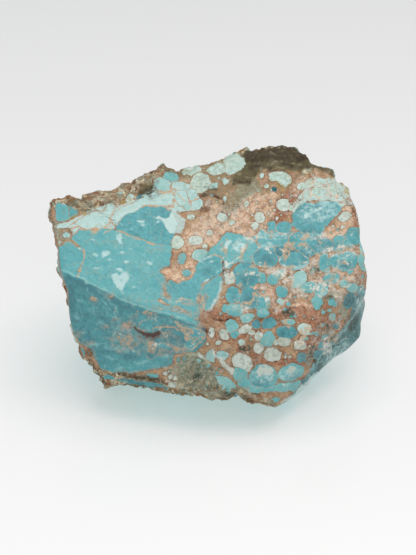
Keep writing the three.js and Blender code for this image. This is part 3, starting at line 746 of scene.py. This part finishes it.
        blob(249,300, 6,7), blob(246,280, 8,5), blob(265,260, 8,5), blob(234,298, 3,4), blob(306,232, 6,3),
        blob(332,246, 8,3), blob(344,265, 9,4), blob(262,383, 9,3.4), blob(292,377, 9,2.6, 18),
        blob(208,272, 5,3),
    ],
    "teal": [
        blob(275,189, 3,2.4), line(3, 352,196, 357,206),
    ],
}

# Nodules of the hidden sides, back and underside, strewn at random. Lengths are in millimetres.
strewn = {
    "count": 360,
    "seed": 8,
    "radius": (0.6, 3.4, 2.2),  # smallest, largest, and the power that favours the small
    "stretch": (0.75, 0.5),  # the least, and how much more there can be
    "tones": (0.08, 0.6),
    "chalky": (0.12, 0.88),  # the share that is chalky, and its tone
    "facing": -0.05,  # centres lie where the surface faces the camera less than this
}

# How the shapes are laid on the stone, in millimetres. An edge is the two depths that something is eased
# between.
laying = {
    "nodulesAtOnce": 6,  # the most that meet at one place, so that the finish can tell neighbours apart
    "touching": -0.45,  # how far outside a nodule still touches it
    "everyNth": 6,  # points of the mesh looked at to see which nodules touch
    "shallowest": -1.0,
    "shallowestMark": -1.5,
    "fade": 8.0,  # how deep a shape sinks as the surface turns away from the camera
    "placedEnd": 0.1,
    "strewnEnd": 0.22,
    "marksEnd": 0.12,
    "crowdingEdge": (-1.5, 1.5),  # in pixels
    "gapFavour": 1.6,  # the power that favours small gap fillers
    "gapFlatness": 0.85,
    "gapTurn": 40,
    "gapClear": 0.6,  # pixels from a gap filler to the next nodule
    "warpScale": 5.5,  # warps the drawn outlines so that they look broken, not drawn
    "warps": [(1.1, 8.0), (0.6, 3.4)],  # height and size, in pixels
    "strewnWarp": 0.35,
    "groundEdge": (-0.05, 0.12),
    "veinEdge": (-0.05, 0.05),
    "veinGap": (0.0, 0.3),
    "crackEdge": (-0.15, 0.15),
}


# How deep a shape sinks where the camera is blind: fade * (end - facing), between none and fade.
def turnedAway(facing, end):
    return laying["fade"] * np.clip(end - facing, 0, 1)


# The sum of the amounts of the crowding shapes that each place lies in, each with a soft edge.
def crowdingAt(px, py):
    edge = laying["crowdingEdge"]
    return sum(amount * smoothstep(insideBy(shape, px, py), *edge) for amount, shape in crowding)


# Small round shapes at random places inside each area, kept where no listed nodule is near.
def gapNodules():
    dice = np.random.default_rng(strewn["seed"])
    found = []
    for tries, smallest, largest, lowTone, highTone, place in gapFillers:
        low, high = place["points"].min(axis=0), place["points"].max(axis=0)
        x, y = (low + (high - low) * dice.random((tries, 2))).T
        radius = smallest + (largest - smallest) * dice.random(tries) ** laying["gapFavour"]
        tone = dice.uniform(lowTone, highTone, tries)
        taken = np.max([insideBy(shape, x, y) for other, shape in nodules], axis=0) + crowdingAt(x, y)
        free = (insideBy(place, x, y) > 0) & (taken < -radius - laying["gapClear"])
        for n in np.flatnonzero(free):
            flat = radius[n] * laying["gapFlatness"]
            found.append((tone[n], blob(x[n], y[n], radius[n], flat, laying["gapTurn"] * n)))
    return found


# One row of depths inside for each nodule on the front, in millimetres: the listed nodules grown by the
# crowding, the fills no deeper than they count as, and the gap fillers.
def placedNodules(px, py, facing):
    hidden = turnedAway(facing, laying["placedEnd"])
    grown = crowdingAt(px, py)
    small = gapNodules()
    rows = [insideBy(shape, px, py) + grown for tone, shape in nodules]
    rows += [np.minimum(insideBy(shape, px, py), depth) for tone, depth, shape in fills]
    rows += [insideBy(shape, px, py) for tone, shape in small]
    tones = [row[0] for row in nodules + fills + small]
    return np.array([row * camera["pixelSize"] - hidden for row in rows], np.float32), np.array(tones)


# The same for strewn nodules: (1 - distance / radius) * radius round random surface points, each ball pressed
# out of shape by its own random stretch.
def strewnNodules(points, facing):
    count = strewn["count"]
    smallest, largest, favour = strewn["radius"]
    least, more = strewn["stretch"]
    share, chalkyTone = strewn["chalky"]
    dice = np.random.default_rng(strewn["seed"])
    hidden = np.flatnonzero(facing < strewn["facing"])
    centres = points[dice.choice(hidden, count, replace=False)]
    radii = smallest + (largest - smallest) * dice.random(count) ** favour
    stretch = least + more * dice.random((count, 3))
    tones = dice.uniform(*strewn["tones"], count)
    tones[dice.random(count) < share] = chalkyTone
    seen = turnedAway(-facing, laying["strewnEnd"])
    rows = [(1 - np.linalg.norm((points - centre) / (radius * s), axis=1)) * radius - seen
            for centre, radius, s in zip(centres, radii, stretch)]
    return np.array(rows, np.float32), tones


# Sorts the nodules into layers whose members keep clear of each other, and gives each layer's greatest depth
# inside at each vertex with the tone of the nodule it belongs to.
def layersOf(rows, tones):
    layers, count = laying["nodulesAtOnce"], rows.shape[1]
    near = (rows[:, ::laying["everyNth"]] > laying["touching"]).astype(np.float32)
    meets = near @ near.T > 0
    layer = np.full(len(rows), -1)
    for n in range(len(rows)):
        clashes = [int((meets[n] & (layer == m)).sum()) for m in range(layers)]
        layer[n] = int(np.argmin(clashes))
    depths, shades = np.zeros((layers, count)), np.zeros((layers, count))
    for m in range(layers):
        members = np.flatnonzero(layer == m)
        best = rows[members].argmax(axis=0)
        depths[m] = np.maximum(rows[members[best], np.arange(count)], laying["shallowest"])
        shades[m] = tones[members[best]]
    return depths, shades


# The greatest depth inside any mark of one kind, in millimetres, faded away where the camera is blind.
def markDepth(shapes, px, py, facing):
    deepest = np.max([insideBy(shape, px, py) for shape in shapes], axis=0) * camera["pixelSize"]
    return np.maximum(deepest - turnedAway(facing, laying["marksEnd"]), laying["shallowestMark"])


# How far each point's place in the picture is shifted, across and down: the sum of the warps' noises.
def drawnWarp(points):
    scaled, warps = laying["warpScale"] * points, laying["warps"]
    return [sum(height * noise(scaled, size, seed + 2 * n) for n, (height, size) in enumerate(warps))
            for seed in (seeds["warpAcross"], seeds["warpDown"])]


# The relief too fine for the solid: ground * (pits - sinks) - veinDepth * vein + crust * grit - crack. Ground
# is where no nodule is, and a vein is where the two deepest layers are nearly as deep as each other.
def fineRelief(points, crust, depths, crack):
    under, top = np.sort(depths, axis=0)[-2:]
    ground = 1 - smoothstep(top, *laying["groundEdge"])
    vein = smoothstep(under, *laying["veinEdge"]) * (1 - smoothstep(top - under, *laying["veinGap"]))
    pits, pitSize = stone["groundPits"]
    grit, gritSize = stone["crustGrit"]
    fine = ground * (pits * roughNoise(points, pitSize, seeds["pits"]) - stone["groundSinks"])
    fine = fine - stone["veinDepth"] * vein
    fine = fine + crust * grit * roughNoise(points, gritSize, seeds["grit"])
    return fine - stone["crackDepth"] * smoothstep(crack, *laying["crackEdge"])


# Columns of numbers as attributes that hold three columns each.
def inThrees(name, columns):
    return {name + str(n // 3): columns[n:n + 3] for n in range(0, len(columns), 3)}


# The mesh in the row frame in metres, its underside flat where it rests, with the attributes at its points.
def meshOf(points, faces, attributes):
    place = upright(points) + np.array(stone["core"])
    place[:, 2] = np.maximum(place[:, 2], 0)
    mesh = bpy.data.meshes.new("dressed_stone")
    mesh.vertices.add(len(place))
    mesh.vertices.foreach_set("co", (place * 0.001).astype(np.float32).ravel())
    mesh.loops.add(faces.size)
    mesh.loops.foreach_set("vertex_index", faces.astype(np.int32).ravel())
    mesh.polygons.add(len(faces))
    mesh.polygons.foreach_set("loop_start", np.arange(0, faces.size, 4, dtype=np.int32))
    mesh.update(calc_edges=True)
    mesh.polygons.foreach_set("use_smooth", np.ones(len(faces), bool))
    for name, columns in attributes.items():
        attribute = mesh.attributes.new(name, "FLOAT_VECTOR", "POINT")
        attribute.data.foreach_set("vector", np.stack(columns, axis=1).astype(np.float32).ravel())
    return mesh


# The stone: core + direction * (reach + relief), then the fine relief along the normals.
def makeStone():
    box, faces = boxGrid(stone["cells"])
    guide = guidePoints(box)
    aim = guide / np.linalg.norm(guide, axis=1, keepdims=True)
    reach = reachOfShape(aim)[:, None]
    plain = aim * reach
    crust = crustAt(plain)
    points = aim * (reach + reliefAt(plain, crust)[:, None])
    print("stone shape worked out,", len(points), "points")

    toCamera = np.array([*camera["middle"], -camera["distance"]]) - points
    toCamera /= np.linalg.norm(toCamera, axis=1, keepdims=True)
    facing = (vertexNormals(plain, faces) * toCamera).sum(axis=1)  # 1 towards the camera, -1 away from it
    px, py = pictureOf(points)
    warpX, warpY = drawnWarp(points)
    drawnX, drawnY = px + warpX, py + warpY
    placed, placedTones = placedNodules(drawnX, drawnY, facing)
    shift = np.stack([warpX, warpY, warpX - warpY], axis=1)
    random, randomTones = strewnNodules(points + laying["strewnWarp"] * shift, facing)
    depths, shades = layersOf(np.concatenate([placed, random]), np.concatenate([placedTones, randomTones]))
    print("nodules laid out,", len(placed) + len(random))

    drawn = {**groundMarks, **overMarks}
    marks = {name: markDepth(shapes, drawnX, drawnY, facing) for name, shapes in drawn.items()}
    fine = fineRelief(points, crust, depths, marks["crack"])
    points = points + vertexNormals(points, faces) * fine[:, None]
    attributes = {**inThrees("depths", depths), **inThrees("tones", shades)}
    mesh = meshOf(points, faces, {**attributes, **inThrees("marks", [*marks.values(), crust])})
    piece = bpy.data.objects.new("turquoise_stone_dressed", mesh)
    bpy.context.scene.collection.objects.link(piece)
    print("stone mesh made,", len(faces) * 2, "triangles")
    return piece


# A socket in an expression: + - * add Math nodes, and plain numbers go straight onto their sockets.
class Wire:
    def __init__(self, shader, socket):
        self.shader, self.socket = shader, socket

    def math(self, operation, *others, first=None):
        values = [self if first is None else first, *others]
        node = self.shader.add("ShaderNodeMath", {"operation": operation}, dict(enumerate(values)))
        return Wire(self.shader, node.outputs[0])

    def __add__(self, other):
        return self.math("ADD", other)

    def __sub__(self, other):
        return self.math("SUBTRACT", other)

    def __mul__(self, other):
        return self.math("MULTIPLY", other)

    def __rsub__(self, other):
        return self.math("SUBTRACT", self, first=other)

    __radd__, __rmul__ = __add__, __mul__

    def max(self, other):
        return self.math("MAXIMUM", other)

    def min(self, other):
        return self.math("MINIMUM", other)

    def over(self, other):
        return self.math("GREATER_THAN", other)

    # 0 below low, 1 above high, eased between.
    def ramp(self, low, high):
        sockets = {"Value": self, "From Min": low, "From Max": high}
        node = self.shader.add("ShaderNodeMapRange", {"interpolation_type": "SMOOTHSTEP"}, sockets)
        return Wire(self.shader, node.outputs["Result"])


# Adds nodes to a material. Settings are set first, then sockets get their values or links.
class Shader:
    def __init__(self, name):
        self.material = bpy.data.materials.new(name)
        self.material.use_nodes = True
        self.tree = self.material.node_tree
        self.tree.nodes.clear()

    def add(self, kind, settings=None, sockets=None):
        node = self.tree.nodes.new(kind)
        for name, value in (settings or {}).items():
            if name == "stops":
                self.setStops(node.color_ramp, value)
            else:
                setattr(node, name, value)
        for name, value in (sockets or {}).items():
            if isinstance(value, Wire):
                self.tree.links.new(value.socket, node.inputs[name])
            else:
                node.inputs[name].default_value = value
        return node

    def setStops(self, ramp, stops):
        while len(ramp.elements) < len(stops):
            ramp.elements.new(0.5)
        for element, (position, colour) in zip(ramp.elements, stops):
            element.position, element.color = position, colour

    def wire(self, node, output=0):
        return Wire(self, node.outputs[output])

    # The numbers held by the mesh's attributes, three to each.
    def numbers(self, name, count):
        found = []
        for n in range(0, count, 3):
            node = self.add("ShaderNodeAttribute", {"attribute_name": name + str(n // 3)})
            split = self.add("ShaderNodeSeparateXYZ", sockets={0: self.wire(node, "Vector")})
            found += [self.wire(split, axis) for axis in range(3)]
        return found

    # A colour's red, green and blue.
    def parts(self, colour):
        node = self.add("ShaderNodeSeparateColor", sockets={0: colour})
        return [self.wire(node, n) for n in range(3)]

    def vector(self, operation, *values, **named):
        sockets = {**dict(enumerate(values)), **named}
        return self.wire(self.add("ShaderNodeVectorMath", {"operation": operation}, sockets))

    def mix(self, amount, a, b, blend="MIX"):
        settings = {"data_type": "RGBA", "blend_type": blend, "clamp_factor": True}
        node = self.add("ShaderNodeMix", settings, {0: amount, 6: a, 7: b})
        return self.wire(node, 2)

    # Noise from 0 to 1 at a size in millimetres, as a number and as a colour of three unlike noises.
    def noise(self, place, size, detail, roughness=0.55, distortion=0.0):
        sockets = {"Vector": place, "Scale": 1 / size, "Detail": detail, "Roughness": roughness}
        node = self.add("ShaderNodeTexNoise", {}, {**sockets, "Distortion": distortion})
        return self.wire(node, "Fac"), self.wire(node, "Color")

    # Broken cells, so many to a millimetre, with three random numbers for each.
    def cells(self, place, scale):
        sockets = {"Vector": place, "Scale": scale}
        node = self.add("ShaderNodeTexVoronoi", {"feature": "F1"}, sockets)
        return self.parts(self.wire(node, "Color"))

    # The distance to the edge of such a cell.
    def cellEdge(self, place, scale):
        sockets = {"Vector": place, "Scale": scale}
        return self.wire(self.add("ShaderNodeTexVoronoi", {"feature": "DISTANCE_TO_EDGE"}, sockets))

    # The finished material, with these values and links on its Principled shader.
    def finished(self, sockets):
        principled = self.add("ShaderNodeBsdfPrincipled", {}, sockets)
        self.add("ShaderNodeOutputMaterial", {}, {0: self.wire(principled)})
        return self.material


mostGivenBack = 0.95  # of the light that falls on a surface


# A colour seen in the picture, 0 to 255, as the linear colour that a surface in this light needs, by the
# screen's own curve. lift makes up for the light that the surface gets being less than full.
def paint(red, green, blue, lift=1.0):
    def linear(value):
        value /= 255
        return value / 12.92 if value <= 0.04045 else ((value + 0.055) / 1.055) ** 2.4
    return tuple(min(linear(value) * lift, mostGivenBack) for value in (red, green, blue)) + (1.0,)


finish = {
    "toneStops": [
        (0.0, (46, 74, 70)), (0.06, (58, 102, 104)), (0.12, (66, 128, 136)), (0.25, (88, 163, 168)),
        (0.42, (120, 180, 178)), (0.56, (156, 194, 188)), (0.63, (183, 211, 207)), (0.70, (172, 196, 184)),
        (0.76, (188, 203, 190)), (0.84, (197, 206, 197)), (0.95, (180, 184, 171)),
    ],
    "lift": 1.08,
    # Size in millimetres, detail, roughness and distortion of each noise.
    "noises": {
        "broad": (9.0, 3.0), "patch": (2.6, 4.0, 0.6, 0.4), "fine": (0.75, 4.0, 0.65),
        "grit": (0.3, 3.0, 0.6), "streaks": (1.2, 4.0, 0.6),
    },
    "streakStretch": (0.5, 1.0, 1.6),
    "cells": {"lobes": 0.42, "grains": 1.15, "crumbs": 2.0},  # how many to a millimetre
    "wander": (2.0, 2.0, 2.0),  # how far patch noise pushes the lobes about, in millimetres
    "crumble": (1.1, 1.1, 1.1),  # and fine noise the grains
    "ragged": (0.55, 0.22),  # how far nodule edges stray by each layer's own noise and by the grit
    "edges": {"nodule": (-0.05, 0.08), "rim": (-0.34, -0.06), "vein": (-0.08, 0.04), "gap": (0.0, 0.2)},
    "shades": {"broad": 0.14, "patch": 0.12, "fine": 0.30, "lobes": 0.04, "edge": 0.05},
    "roughness": (0.42, 0.7),  # turquoise, host rock
    "bump": {"Strength": 0.8, "Distance": 0.0005},
    "tooth": {"grit": 0.5, "fine": 0.9, "nodule": 0.6, "patch": 0.8},
    "colours": {
        "pink": (240, 207, 176), "peach": (216, 168, 126), "rust": (176, 114, 82), "brown": (98, 74, 52),
        "olive": (98, 90, 62), "oliveLight": (142, 132, 104), "greyGreen": (156, 169, 148),
        "darkGreen": (60, 92, 78), "tan": (194, 159, 122), "groundDark": (160, 122, 90),
        "stainBrown": (140, 112, 88), "umber": (116, 78, 48), "sand": (204, 192, 164),
        "lichen": (134, 142, 122), "wash": (142, 126, 94), "crustLight": (214, 198, 162),
        "crustDark": (84, 72, 48), "crustBrown": (150, 112, 76), "paleGrain": (226, 222, 198),
        "frost": (224, 216, 202), "pale": (194, 216, 210), "cream": (194, 201, 190),
        "bloom": (186, 214, 212), "veil": (176, 208, 206), "streak": (150, 176, 172),
        "mottleDark": (152, 168, 148), "mottleLight": (208, 219, 209),
        "paleTeal": (132, 172, 172), "edgeTeal": (142, 192, 188), "glint": (134, 186, 186),
        "borderTan": (150, 152, 128), "pinkOver": (176, 156, 136), "mustard": (168, 142, 76),
        "teal": (30, 104, 110), "sootyTeal": (48, 96, 104), "dusk": (64, 118, 126), "deep": (54, 66, 54),
        "sooty": (66, 54, 38), "crack": (84, 50, 40),
    },
}


# Ground, crust and nodules are each layered from the finish's colours. A nodule shows where its depth is
# above nothing, and the marks are laid over both. An amount is a mark * the noise it shows through * its
# strength.
def stoneFinish():
    shader = Shader("turquoise_in_host_rock")
    colour = {name: paint(*value, lift=finish["lift"]) for name, value in finish["colours"].items()}
    coordinates = shader.add("ShaderNodeTexCoord")
    place = shader.vector("SCALE", shader.wire(coordinates, "Object"), Scale=1000.0)
    noises, cells, shades, edges = (finish[name] for name in ("noises", "cells", "shades", "edges"))
    broad, broadColour = shader.noise(place, *noises["broad"])
    patch, patchColour = shader.noise(place, *noises["patch"])
    fine, fineColour = shader.noise(place, *noises["fine"])
    grit = shader.noise(place, *noises["grit"])[0]
    streaks = shader.noise(shader.vector("MULTIPLY", place, finish["streakStretch"]), *noises["streaks"])[0]
    broadRed = shader.parts(broadColour)[0]
    patchParts, fineParts = shader.parts(patchColour), shader.parts(fineColour)
    patchRed, patchGreen, patchBlue = patchParts
    fineGreen = fineParts[1]
    wandering = shader.vector("MULTIPLY_ADD", patchColour, finish["wander"], place)
    crumbling = shader.vector("MULTIPLY_ADD", fineColour, finish["crumble"], wandering)
    names = [*groundMarks, *overMarks, "crust"]
    marks = dict(zip(names, shader.numbers("marks", len(names))))
    tones = shader.numbers("tones", laying["nodulesAtOnce"])

    # A mark's share of the colour, its edge wandering with the noises and eased over soft.
    def laid(name, wander, soft):
        return (marks[name] + (patch - 0.5) * wander + (fine - 0.5) * wander).ramp(-soft / 2, soft / 2)

    # Thin wandering lines where a noise crosses its middle.
    def threads(value, width):
        return 1 - (value - 0.5).math("ABSOLUTE").ramp(width * 0.4, width)

    # Colours laid one over another: each one's name or its wire, and how much of it.
    def layered(below, *layers):
        for upper, amount in layers:
            below = shader.mix(amount, below, colour[upper] if isinstance(upper, str) else upper)
        return below

    # Each layer's edge gets its own fine wobble, so that the veins between nodules wander.
    stray, strayGrit = finish["ragged"]
    ragged = (grit - 0.5) * strayGrit
    depths = shader.numbers("depths", len(tones))
    depths = [depth + (part - 0.5) * stray + ragged for depth, part in zip(depths, fineParts + patchParts)]

    # The deepest layer at each place, the one under it, and the tone of the deepest.
    top, under, tone = depths[0], -1.0, tones[0]
    for depth, shade in zip(depths[1:], tones[1:]):
        wins = depth.over(top)
        under = top.min(depth).max(under)
        top = top.max(depth)
        tone = tone + wins * (shade - tone)
    inNodule = top.ramp(*edges["nodule"])
    gap = (top - under - (patchGreen - 0.5) * 1.1).ramp(*edges["gap"])
    veins = (1 - gap) * under.ramp(*edges["vein"]) * inNodule * (0.25 + tone.ramp(0.16, 0.21) * 0.75)
    veins = veins * (1 - marks["paleEdgesAndPaintedRidgeHighlight"].ramp(-0.9, -0.4))
    rim = top.ramp(*edges["rim"]) * (1 - inNodule)
    net = threads(patchGreen, 0.035).max(threads(patchBlue, 0.03)).max(threads(patchRed, 0.025))

    # Ground between the nodules.
    crumbTone = shader.cells(crumbling, cells["crumbs"])[0]
    pink, rust, whitish = laid("pink", 1.2, 0.8), laid("rust", 1.4, 0.8), laid("whitish", 1.6, 1.0)
    ground = layered(
        shader.mix(patch.ramp(0.3, 0.55), colour["groundDark"], colour["tan"]),
        ("pink", pink * 0.9),
        ("peach", pink * fine.ramp(0.5, 0.62)),
        ("rust", rust * (0.5 + fine * 0.7)),
        ("greyGreen", laid("greyGreen", 1.2, 0.8) * patch.ramp(0.26, 0.46)),
        ("frost", whitish * fine.ramp(0.44, 0.60) * 0.85),
        ("peach", whitish * patchRed.ramp(0.5, 0.6) * 0.35),
        ("darkGreen", laid("darkGreen", 1.2, 0.6) * fine.ramp(0.35, 0.6)),
        ("brown", laid("brown", 0.9, 0.5) * (0.5 + fine * 0.8)),
        ("rust", threads(patch, 0.03) * 0.5),
        ("brown", rim * 0.5),
        ("frost", crumbTone.ramp(0.62, 0.8) * 0.2),
        ("brown", (1 - crumbTone.ramp(0.14, 0.3)) * 0.22),
        ("stainBrown", fineGreen.ramp(0.52, 0.6) * 0.36),
        ("frost", grit.ramp(0.54, 0.62) * 0.18),
        ("brown", (1 - grit.ramp(0.38, 0.47)) * (0.16 + rust * 0.5)),
    )

    # The crust: pale and dark grains of host rock, browner in its crevices.
    grainA, grainB, grainC = shader.cells(crumbling, cells["grains"])
    grainEdge = shader.cellEdge(crumbling, cells["grains"])
    crust = layered(
        shader.mix(grainA.ramp(0.2, 0.8), colour["crustBrown"], colour["crustLight"]),
        ("paleGrain", grainB.ramp(0.6, 0.75) * 0.8),
        ("greyGreen", grainC.ramp(0.65, 0.8) * 0.8),
        ("rust", patch.ramp(0.52, 0.62) * 0.6),
        ("brown", (1 - grainEdge.ramp(0.02, 0.16)) * 0.6),
        ("crustDark", (1 - patchBlue.ramp(0.34, 0.43)) * 0.75),
        ("crustBrown", fineGreen.ramp(0.56, 0.66) * 0.5),
        ("olive", broadRed.ramp(0.54, 0.66) * 0.45),
    )
    lichen = laid("lichen", 1.6, 1.0)
    oliveStreaks = layered(
        shader.mix(streaks.ramp(0.35, 0.5), colour["sooty"], colour["olive"]),
        ("oliveLight", streaks.ramp(0.54, 0.66)),
    )
    ground = layered(
        ground,
        (crust, marks["crust"].ramp(0.3, 0.7)),
        ("lichen", lichen * fine.ramp(0.38, 0.56) * 0.75),
        ("darkGreen", lichen * (1 - fineGreen.ramp(0.38, 0.48)) * 0.6),
        ("sand", lichen * grit.ramp(0.54, 0.62) * 0.5),
        ("sand", laid("sand", 1.2, 0.8) * fineGreen.ramp(0.38, 0.54) * 0.85),
        ("wash", laid("wash", 1.8, 1.4) * (0.35 + fineGreen.ramp(0.40, 0.56) * 0.4)),
        (oliveStreaks, laid("olive", 1.5, 0.9) * 0.95),
        ("crustDark", grit.ramp(0.5, 0.75) * 0.25),
    )

    # Turquoise: lobes of slightly different tone with faint borders, and pale flecks.
    lobeTone = shader.cells(wandering, cells["lobes"])[0]
    lobeEdge = shader.cellEdge(wandering, cells["lobes"])
    border = (1 - lobeEdge.ramp(0.015, 0.05)) * patch.ramp(0.42, 0.6) * (1 - tone.ramp(0.6, 0.75))
    shade = tone + (broad - 0.5) * shades["broad"] + (patch - 0.5) * shades["patch"]
    shade = shade + (fine - 0.5) * shades["fine"] + (lobeTone - 0.5) * shades["lobes"]
    shade = shade + (1 - top.ramp(0.08, 0.34)) * shades["edge"]
    stops = [(position, paint(*rgb, lift=finish["lift"])) for position, rgb in finish["toneStops"]]
    mottled, stained = tone.ramp(0.65, 0.70), laid("stain", 1.4, 1.0)
    nodule = layered(
        shader.wire(shader.add("ShaderNodeValToRGB", {"stops": stops}, {0: shade})),
        (shader.mix(tone.ramp(0.18, 0.22), colour["paleTeal"], colour["borderTan"]),
         border * (0.2 + tone.ramp(0.16, 0.22) * 0.25)),
        ("pale", fine.ramp(0.60, 0.72) * broad.ramp(0.42, 0.58) * 0.4),
        ("borderTan", (1 - fineGreen.ramp(0.30, 0.40)) * patchBlue.ramp(0.42, 0.55) * 0.45),
        ("sootyTeal", grit.ramp(0.66, 0.76) * 0.3),
        ("mottleDark", mottled * (1 - fineGreen.ramp(0.40, 0.50)) * 0.7),
        ("mottleLight", mottled * fineGreen.ramp(0.53, 0.62) * 0.5),
        # Darker mottles, and painted shade under the ridge.
        ("dusk", laid("dusk", 1.6, 1.4) * (0.3 + fineGreen.ramp(0.4, 0.56) * 0.5)),
        # Pale threads over the darkest nodules of the bevel, in the colour of the painted glint.
        ("glint", (1 - tone.ramp(0.05, 0.09)) * net * 0.25),
        ("sootyTeal", threads(broadRed, 0.006) * patch.ramp(0.4, 0.55) * 0.25),
        ("veil", laid("veil", 1.2, 1.0) * (0.12 + fineGreen.ramp(0.45, 0.6) * 0.6)),
        ("tan", stained * patchBlue.ramp(0.57, 0.61) * fine.ramp(0.36, 0.5) * 0.75),
        ("frost", stained * patchRed.ramp(0.58, 0.62) * fineGreen.ramp(0.48, 0.56) * 0.8),
    )

    # Nodules in their ground, and the marks that lie over both.
    surface = layered(
        shader.mix(inNodule * (1 - veins * 0.85), ground, nodule),
        (shader.mix(fineGreen.ramp(0.45, 0.6), colour["pinkOver"], colour["stainBrown"]),
         laid("pinkOver", 1.6, 2.0) * (0.25 + fine.ramp(0.38, 0.56) * 0.6)),
        ("umber", laid("umber", 1.0, 0.8) * fineGreen.ramp(0.38, 0.56) * 0.65),
        ("sootyTeal", laid("hairline", 0.4, 0.2) * patch.ramp(0.36, 0.5) * 0.35),
        ("deep", laid("deep", 1.0, 0.8) * fine.ramp(0.34, 0.56) * 0.85),
        # Pale speckles, and a painted highlight on the right-hand bevel.
        ("glint", laid("glint", 1.0, 0.8) * fineGreen.ramp(0.40, 0.54) * 0.75),
        ("streak", laid("streak", 0.5, 0.25) * fine.ramp(0.36, 0.52) * 0.7),
        ("bloom", laid("bloom", 0.7, 0.5) * fine.ramp(0.30, 0.46) * 0.85),
        ("pale", laid("pale", 0.6, 0.3) * 0.9),
        # Pale lobe edges, and a painted highlight along the ridge.
        ("edgeTeal", laid("paleEdgesAndPaintedRidgeHighlight", 0.3, 0.2) * fine.ramp(0.26, 0.46) * 0.8),
        ("tan", laid("tan", 0.35, 0.2) * fine.ramp(0.3, 0.5) * 0.8),
        ("frost", laid("frost", 1.4, 1.2) * (net * 0.6 + fine.ramp(0.49, 0.62) * 0.4)),
        ("cream", laid("cream", 0.5, 0.3) * fine.ramp(0.3, 0.5) * 0.9),
        ("mustard", laid("mustard", 0.8, 0.6) * fine.ramp(0.35, 0.6) * 0.75),
        ("teal", laid("teal", 0.5, 0.3)),
        ("sooty", laid("sooty", 0.8, 0.6) * fine.ramp(0.3, 0.55) * 0.8),
        ("crack", laid("crack", 0.8, 0.4) * 0.92),
    )

    # Dull host rock, waxy turquoise, and a fine tooth over both.
    smooth, dull = finish["roughness"]
    roughness = dull - inNodule * (dull - smooth) + (fine - 0.5) * 0.15
    tooth = finish["tooth"]
    height = (grit * tooth["grit"] + fine * tooth["fine"]) * (1.5 - inNodule)
    height = height + inNodule * tooth["nodule"] + patch * tooth["patch"]
    bump = shader.add("ShaderNodeBump", {}, {**finish["bump"], "Height": height})
    return shader.finished({"Base Color": surface, "Roughness": roughness, "Normal": shader.wire(bump),
                            "Specular IOR Level": 0.4})


room = {
    "floorHalf": 3.0,
    # The warm floor colour and the teal glow together paint a teal tint into the floor's shadows, standing in
    # for light thrown onto the floor by the stone.
    "floorColour": (204, 180, 180),
    "glowColour": (0.10, 0.24, 0.24, 1.0),  # what glows everywhere, on top of the part that falls off
    "floorGlow": 0.185,
    "floorFalls": 0.95,  # how fast the floor's glow falls off away from the camera, per metre
    "leastGlow": 0.02,
    "floorRoughness": 0.25,
    "skyStrength": 0.5,
    "top": {"power": 3.1, "size": 0.6, "height": 0.7, "y": 0.06, "x": 0.1},
    "front": {"power": 1.0, "size": 0.8, "height": 0.45, "y": -0.75, "x": -0.1},
    "aimedAt": (0, 0, 0.02),
}
black, white = (0.0, 0.0, 0.0, 1.0), (1.0, 1.0, 1.0, 1.0)


# A square floor whose glow is glowColour + max(floorGlow - y * floorFalls, leastGlow).
def makeFloor():
    half = room["floorHalf"]
    mesh = bpy.data.meshes.new("floor")
    corners = [(-half, -half, 0), (half, -half, 0), (half, half, 0), (-half, half, 0)]
    mesh.from_pydata(corners, [], [(0, 1, 2, 3)])
    floor = bpy.data.objects.new("floor", mesh)
    bpy.context.scene.collection.objects.link(floor)
    shader = Shader("pale_floor")
    coordinates = shader.add("ShaderNodeTexCoord")
    place = shader.add("ShaderNodeSeparateXYZ", sockets={0: shader.wire(coordinates, "Object")})
    falling = (room["floorGlow"] - shader.wire(place, 1) * room["floorFalls"]).max(room["leastGlow"])
    glow = shader.mix(1.0, room["glowColour"], shader.mix(falling, black, white), "ADD")
    mesh.materials.append(shader.finished({
        "Base Color": paint(*room["floorColour"]), "Roughness": room["floorRoughness"],
        "Specular IOR Level": 0.5, "Emission Color": glow, "Emission Strength": 1.0,
    }))


# An even white sky, and lamps that look at aimedAt: pitch = atan2(sideways, down), turn = atan2(-x, y).
def makeLights():
    world = bpy.data.worlds.new("studio")
    world.use_nodes = True
    background = world.node_tree.nodes["Background"]
    background.inputs["Color"].default_value = white
    background.inputs["Strength"].default_value = room["skyStrength"]
    bpy.context.scene.world = world
    for name in ("top", "front"):
        light = room[name]
        data = bpy.data.lights.new(name + "_softbox", "AREA")
        data.shape, data.size, data.energy = "SQUARE", light["size"], light["power"]
        lamp = bpy.data.objects.new(name + "_softbox", data)
        lamp.location = (light["x"], light["y"], light["height"])
        aim = -np.array(lamp.location) + np.array(room["aimedAt"])
        pitch = math.atan2(math.hypot(aim[0], aim[1]), -aim[2])
        lamp.rotation_euler = (pitch, 0, math.atan2(-aim[0], aim[1]))
        bpy.context.scene.collection.objects.link(lamp)


# The lens is half the sensor * distance to where a pixel is pixelSize / half the picture's height there.
def makeCamera():
    data = bpy.data.cameras.new("camera")
    distance = camera["distance"]
    halfHeight = camera["picture"][1] / 2 * camera["pixelSize"]
    data.sensor_fit = "AUTO"
    data.sensor_width = camera["sensor"]
    data.lens = camera["sensor"] / 2 * (distance + camera["sharpDepth"]) / halfHeight
    data.clip_start, data.clip_end = camera["clip"]
    eye = bpy.data.objects.new("camera", data)
    place = upright(np.array([[*camera["middle"], -distance]]))[0] + np.array(stone["core"])
    eye.location = place * 0.001
    eye.rotation_euler = (math.radians(90 - camera["lean"]), 0, 0)
    bpy.context.scene.collection.objects.link(eye)
    bpy.context.scene.camera = eye


makeCamera()
makeLights()
makeFloor()
print("camera, lights and floor made")
dressed = makeStone()
dressed.data.materials.append(stoneFinish())
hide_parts("turquoise_stone")
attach(dressed, "root")
bpy.context.scene.view_settings.view_transform = "Standard"
print("stone finished")
